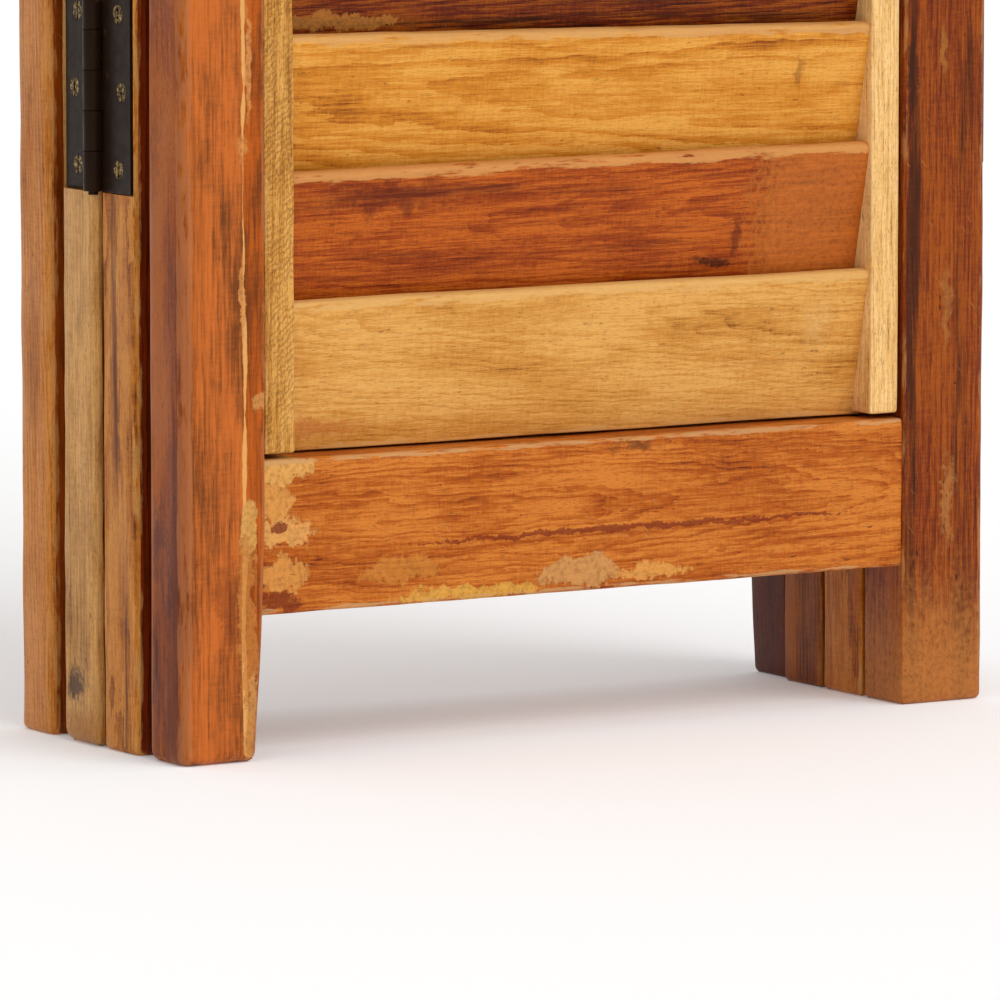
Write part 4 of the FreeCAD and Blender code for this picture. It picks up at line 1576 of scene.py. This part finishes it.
@dataclass
class SlatStrip:
    """The housed strip that holds the slats' ends against a stile.

    Args:
        plan: The screen's sizes.
        leaf: The leaf it belongs to.
        side: Which side of the leaf it is on.
        arris_round: The radius of its arrises.
    """

    plan: ScreenPlan
    leaf: LeafFrame
    side: str
    arris_round: float = 1.6 * MM

    def build(self, effects: Effects) -> bpy.types.Object:
        """Make the strip.

        Args:
            effects: The shared effects.

        Returns:
            The finished object.
        """
        low, high = self.plan.local_box(f"leaf_1_{self.side}_slat_strip")
        bar = Bar(Loop((low.x, low.y), (high.x, high.y), (self.arris_round,) * 4), low.z, high.z,
                  Axis.UPRIGHT, piece_seed(300, self.leaf.leaf, self.side == "right"),
                  uneven=0.8 * MM, end_ease=1.5 * MM)
        finish = STRIP_FINISHES[self.leaf.leaf, self.side].material(effects)
        name = f"leaf_{self.leaf.leaf}_{self.side}_slat_strip"
        piece = make_object(name, [bar.surface()], self.leaf, [finish])
        return piece


@dataclass
class SlatSet:
    """All the slats of a leaf, each from its own timber and set a little out of level.

    Args:
        plan: The screen's sizes.
        leaf: The leaf they belong to.
        top_front_round: The radius of a slat's top front arris.
        top_back_round: That of its top back arris.
        foot_round: That of both lower arrises.
        set_timbers: The timbers of the front leaf's lowest slats, from the foot up.
        set_slants: How far those slats are out of level.
    """

    plan: ScreenPlan
    leaf: LeafFrame
    top_front_round: float = 3.2 * MM
    top_back_round: float = 2.4 * MM
    foot_round: float = 1.2 * MM
    set_timbers: tuple[Timber, ...] = (Timber.PALE_TAN, Timber.RED_BROWN, Timber.GOLDEN,
                                       Timber.DARK_RED)
    set_slants: tuple[float, ...] = (0.0, 0.006, -0.0125)

    def timbers(self, rng: np.random.Generator) -> list[Timber]:
        """A timber for each slat, never the same one twice running.

        Args:
            rng: The leaf's own random numbers.

        Returns:
            The timbers from the foot up.
        """
        chosen = list(self.set_timbers) if self.leaf.leaf == 1 else [Timber.ORANGE]
        while len(chosen) < self.plan.slat_count:
            others = [timber for timber in Timber if timber is not chosen[-1]]
            chosen.append(others[rng.integers(len(others))])
        return chosen

    def build(self, finishes: Sequence[bpy.types.Material]) -> bpy.types.Object:
        """Make the slats: each is a level bar leant forward about its foot.

        Args:
            finishes: The slat materials, in the order of the timbers.

        Returns:
            The finished object.
        """
        plan = self.plan
        rng = np.random.default_rng(400 + self.leaf.leaf)
        tall = plan.slat_height / math.cos(plan.lean)
        radii = (self.foot_round, self.foot_round, self.top_back_round, self.top_front_round)
        loop = Loop((0.0, 0.0), (plan.slat_thickness, tall), radii, arc_steps=4,
                    flat_step=7 * MM)
        cosine, sine = math.cos(plan.lean), math.sin(plan.lean)
        start, end = plan.slat_ends
        slants = list(self.set_slants) if self.leaf.leaf == 1 else []
        parts = []
        for number, timber in enumerate(self.timbers(rng)):
            slant = slants[number] if number < len(slants) else rng.uniform(-0.005, 0.005)
            pith = Pith(rng.uniform(-25, 25) * MM, rng.uniform(8, 40) * MM,
                        rng.uniform(-0.10, 0.10), rng.uniform(-0.05, 0.05))
            bar = Bar(loop, start, end, Axis.LEVEL, 1000 * self.leaf.leaf + number, step=8 * MM,
                      end_ease=0.6 * MM, uneven=0.55 * MM, pith=pith)
            surface = bar.surface(timber.value)
            run, through, rise = surface.points.T
            leant = np.stack([run, through * cosine - rise * sine,
                              through * sine + rise * cosine], 1)
            foot = plan.slat_foot + number * plan.slat_step
            leant += np.array([0.0, plan.slat_front + tall * sine, foot])
            leant[:, 2] += slant * (run - (start + end) / 2)
            surface.points = leant
            parts.append(surface)
        piece = make_object(f"leaf_{self.leaf.leaf}_slats", parts, self.leaf, finishes)
        return piece


@dataclass
class Leaf:
    """One whole leaf: two stiles, two rails, two strips and its slats.

    Args:
        plan: The screen's sizes.
        number: The leaf's number, 1 at the front.
        seat_faces: The face that each hinged stile's seats open to.
        foot_eases: The radius round a foot that is worn more than the rest.
        tapers: How far a foot that is worn narrower is.
        prouds: How far a stile's outer edge stands out.
    """

    plan: ScreenPlan
    number: int
    seat_faces: dict[tuple[int, str], str] = field(default_factory=lambda: {
        (1, "right"): "rear", (2, "right"): "front", (2, "left"): "rear",
        (3, "left"): "front", (3, "right"): "rear", (4, "right"): "front"})
    foot_eases: dict[tuple[int, str], float] = field(default_factory=lambda: {
        (1, "left"): 5 * MM, (3, "left"): 6 * MM})
    tapers: dict[tuple[int, str], float] = field(default_factory=lambda: {
        (1, "left"): 5.4 * MM, (4, "right"): 4.5 * MM})
    prouds: dict[tuple[int, str], float] = field(default_factory=lambda: {
        (3, "left"): 2 * MM, (4, "left"): 1.2 * MM})

    def build(self, effects: Effects, slat_finishes: Sequence[bpy.types.Material]) -> None:
        """Make every piece of the leaf.

        Args:
            effects: The shared effects.
            slat_finishes: The materials that all leaves' slats share.
        """
        leaf = self.plan.frames[self.number]
        rail_finish = RAIL_FINISHES[self.number].material(effects)
        for side in ("left", "right"):
            place = (self.number, side)
            Stile(self.plan, leaf, side, self.seat_faces.get(place),
                  foot_ease=self.foot_eases.get(place, 3 * MM),
                  taper=self.tapers.get(place, 0.0),
                  proud=self.prouds.get(place, 0.0)).build(effects)
            SlatStrip(self.plan, leaf, side).build(effects)
        for level in ("bottom", "top"):
            Rail(self.plan, leaf, level).build(rail_finish)
        SlatSet(self.plan, leaf).build(slat_finishes)


@dataclass
class Hinges:
    """The nine butt hinges, which keep their designed shape with eased edges.

    Args:
        ease: How wide the eased edge of a plate is, and twice that of a screw.
        steps: Steps in each eased edge.
        join: How near two points are that are one.
        least_angle: The smallest turn that is eased, in degrees.
    """

    ease: float = 0.3 * MM
    steps: int = 2
    join: float = 0.01 * MM
    least_angle: float = 40.0

    def dress(self) -> None:
        """Finish every plate, pin and screw, and ease the edges of all but the pins."""
        iron, steel = HINGE_IRON.material(), SCREW_STEEL.material()
        for name, node in frame["nodes"].items():
            if not name.startswith("hinge_"):
                continue
            node.data.materials.clear()
            node.data.materials.append(steel if name.endswith("_screws") else iron)
            if not name.endswith("_pins"):
                node.modifiers.new("joined", "WELD").merge_threshold = self.join
                eased = node.modifiers.new("eased", "BEVEL")
                eased.width = self.ease if name.endswith("_plate") else self.ease / 2
                eased.segments = self.steps
                eased.limit_method = "ANGLE"
                eased.angle_limit = math.radians(self.least_angle)
            LOG.info("%s: kept, %s", name, node.data.materials[0].name)


# ------------------------------------------------------------------ the studio
@dataclass
class Studio:
    """A plain pale floor, soft light from all round, and the camera.

    Args:
        plan: The screen's sizes.
        floor_half: Half the floor's side, in metres.
        floor_shade: How pale the floor is, 0 to 1.
        floor_glow: How much light it gives of its own.
        world_strength: How bright the sky is.
        sun_strength: How bright the sun is.
        sun_angle: How broad the sun is, in degrees.
        sun_lean: How far it leans from overhead, in degrees.
        sun_turn: Which way it leans, in degrees.
        azimuth: Which way the camera looks, in degrees.
        tilt: How far it looks down, in degrees.
        distance: How far it stands from what it looks at, in metres.
        lens: Its focal length, in millimetres.
        aim: What it looks at, in the front leaf's frame.
        far_clip: How far it sees, in metres.
    """

    plan: ScreenPlan
    floor_half: float = 400.0
    floor_shade: float = 0.96
    floor_glow: float = 0.12
    world_strength: float = 0.72
    sun_strength: float = 1.25
    sun_angle: float = 50.0
    sun_lean: float = 52.0
    sun_turn: float = 12.0
    azimuth: float = 32.0
    tilt: float = 6.54
    distance: float = 3.9576
    lens: float = 321.45
    aim: Triple = (0.1625, 0.0, 0.1078)
    far_clip: float = 1500.0

    def floor(self) -> None:
        """Lay a square floor under the screen."""
        mesh = bpy.data.meshes.new("studio_floor")
        half = self.floor_half
        corners = np.array([[-half, -half, 0], [half, -half, 0], [half, half, 0], [-half, half, 0]])
        mesh.from_pydata(corners, [], [(0, 1, 2, 3)])
        finish, graph, shader = new_finish("studio_floor_pale")
        for socket, value in (
                ("Base Color", (self.floor_shade,) * 3 + (1.0,)), ("Emission Color", WHITE),
                ("Emission Strength", self.floor_glow), ("Roughness", 0.9),
                ("Specular IOR Level", 0.1)):
            graph.feed(shader.inputs[socket], value)
        mesh.materials.append(finish)
        floor = bpy.data.objects.new("studio_floor", mesh)
        bpy.context.scene.collection.objects.link(floor)

    def light(self) -> None:
        """Light it from a bright even sky and one very soft sun."""
        world = bpy.data.worlds.new("studio_light")
        world.use_nodes = True
        background = world.node_tree.nodes["Background"]
        background.inputs["Color"].default_value = WHITE
        background.inputs["Strength"].default_value = self.world_strength
        bpy.context.scene.world = world
        sun = bpy.data.lights.new("studio_soft_sun", "SUN")
        sun.energy = self.sun_strength
        sun.angle = math.radians(self.sun_angle)
        lamp = bpy.data.objects.new("studio_soft_sun", sun)
        lamp.rotation_euler = (math.radians(self.sun_lean), 0.0, math.radians(self.sun_turn))
        bpy.context.scene.collection.objects.link(lamp)

    def camera(self) -> None:
        """Stand the camera back from the front leaf along its line of sight."""
        turn, tilt = math.radians(self.azimuth), math.radians(self.tilt)
        sight = Vector((math.sin(turn) * math.cos(tilt), math.cos(turn) * math.cos(tilt),
                        -math.sin(tilt)))
        aim = Vector(self.plan.frames[1].placed(np.array([self.aim]))[0])
        data = bpy.data.cameras.new("studio_camera")
        data.lens = self.lens
        data.sensor_width = 36.0
        data.clip_end = self.far_clip
        camera = bpy.data.objects.new("studio_camera", data)
        camera.location = aim - sight * self.distance
        camera.rotation_euler = sight.to_track_quat("-Z", "Y").to_euler()
        bpy.context.scene.collection.objects.link(camera)
        bpy.context.scene.camera = camera

    def build(self) -> None:
        """Set the studio up."""
        self.floor()
        self.light()
        self.camera()
        bpy.context.scene.view_settings.view_transform = "Standard"


def main() -> None:
    """Build the leaves, dress the hinges and set up the studio."""
    logging.basicConfig(level=logging.INFO, format="%(message)s")
    plan = ScreenPlan()
    LOG.info("lean %.2f degrees, %d slats, %.3f mm apart", math.degrees(plan.lean),
             plan.slat_count, plan.slat_step / MM)
    effects = Effects()
    slat_finishes = [SLAT_FINISHES[timber].material(effects) for timber in Timber]
    for number in LEAVES:
        Leaf(plan, number).build(effects, slat_finishes)
    Hinges().dress()
    Studio(plan).build()


if __name__ == "__main__":
    main()
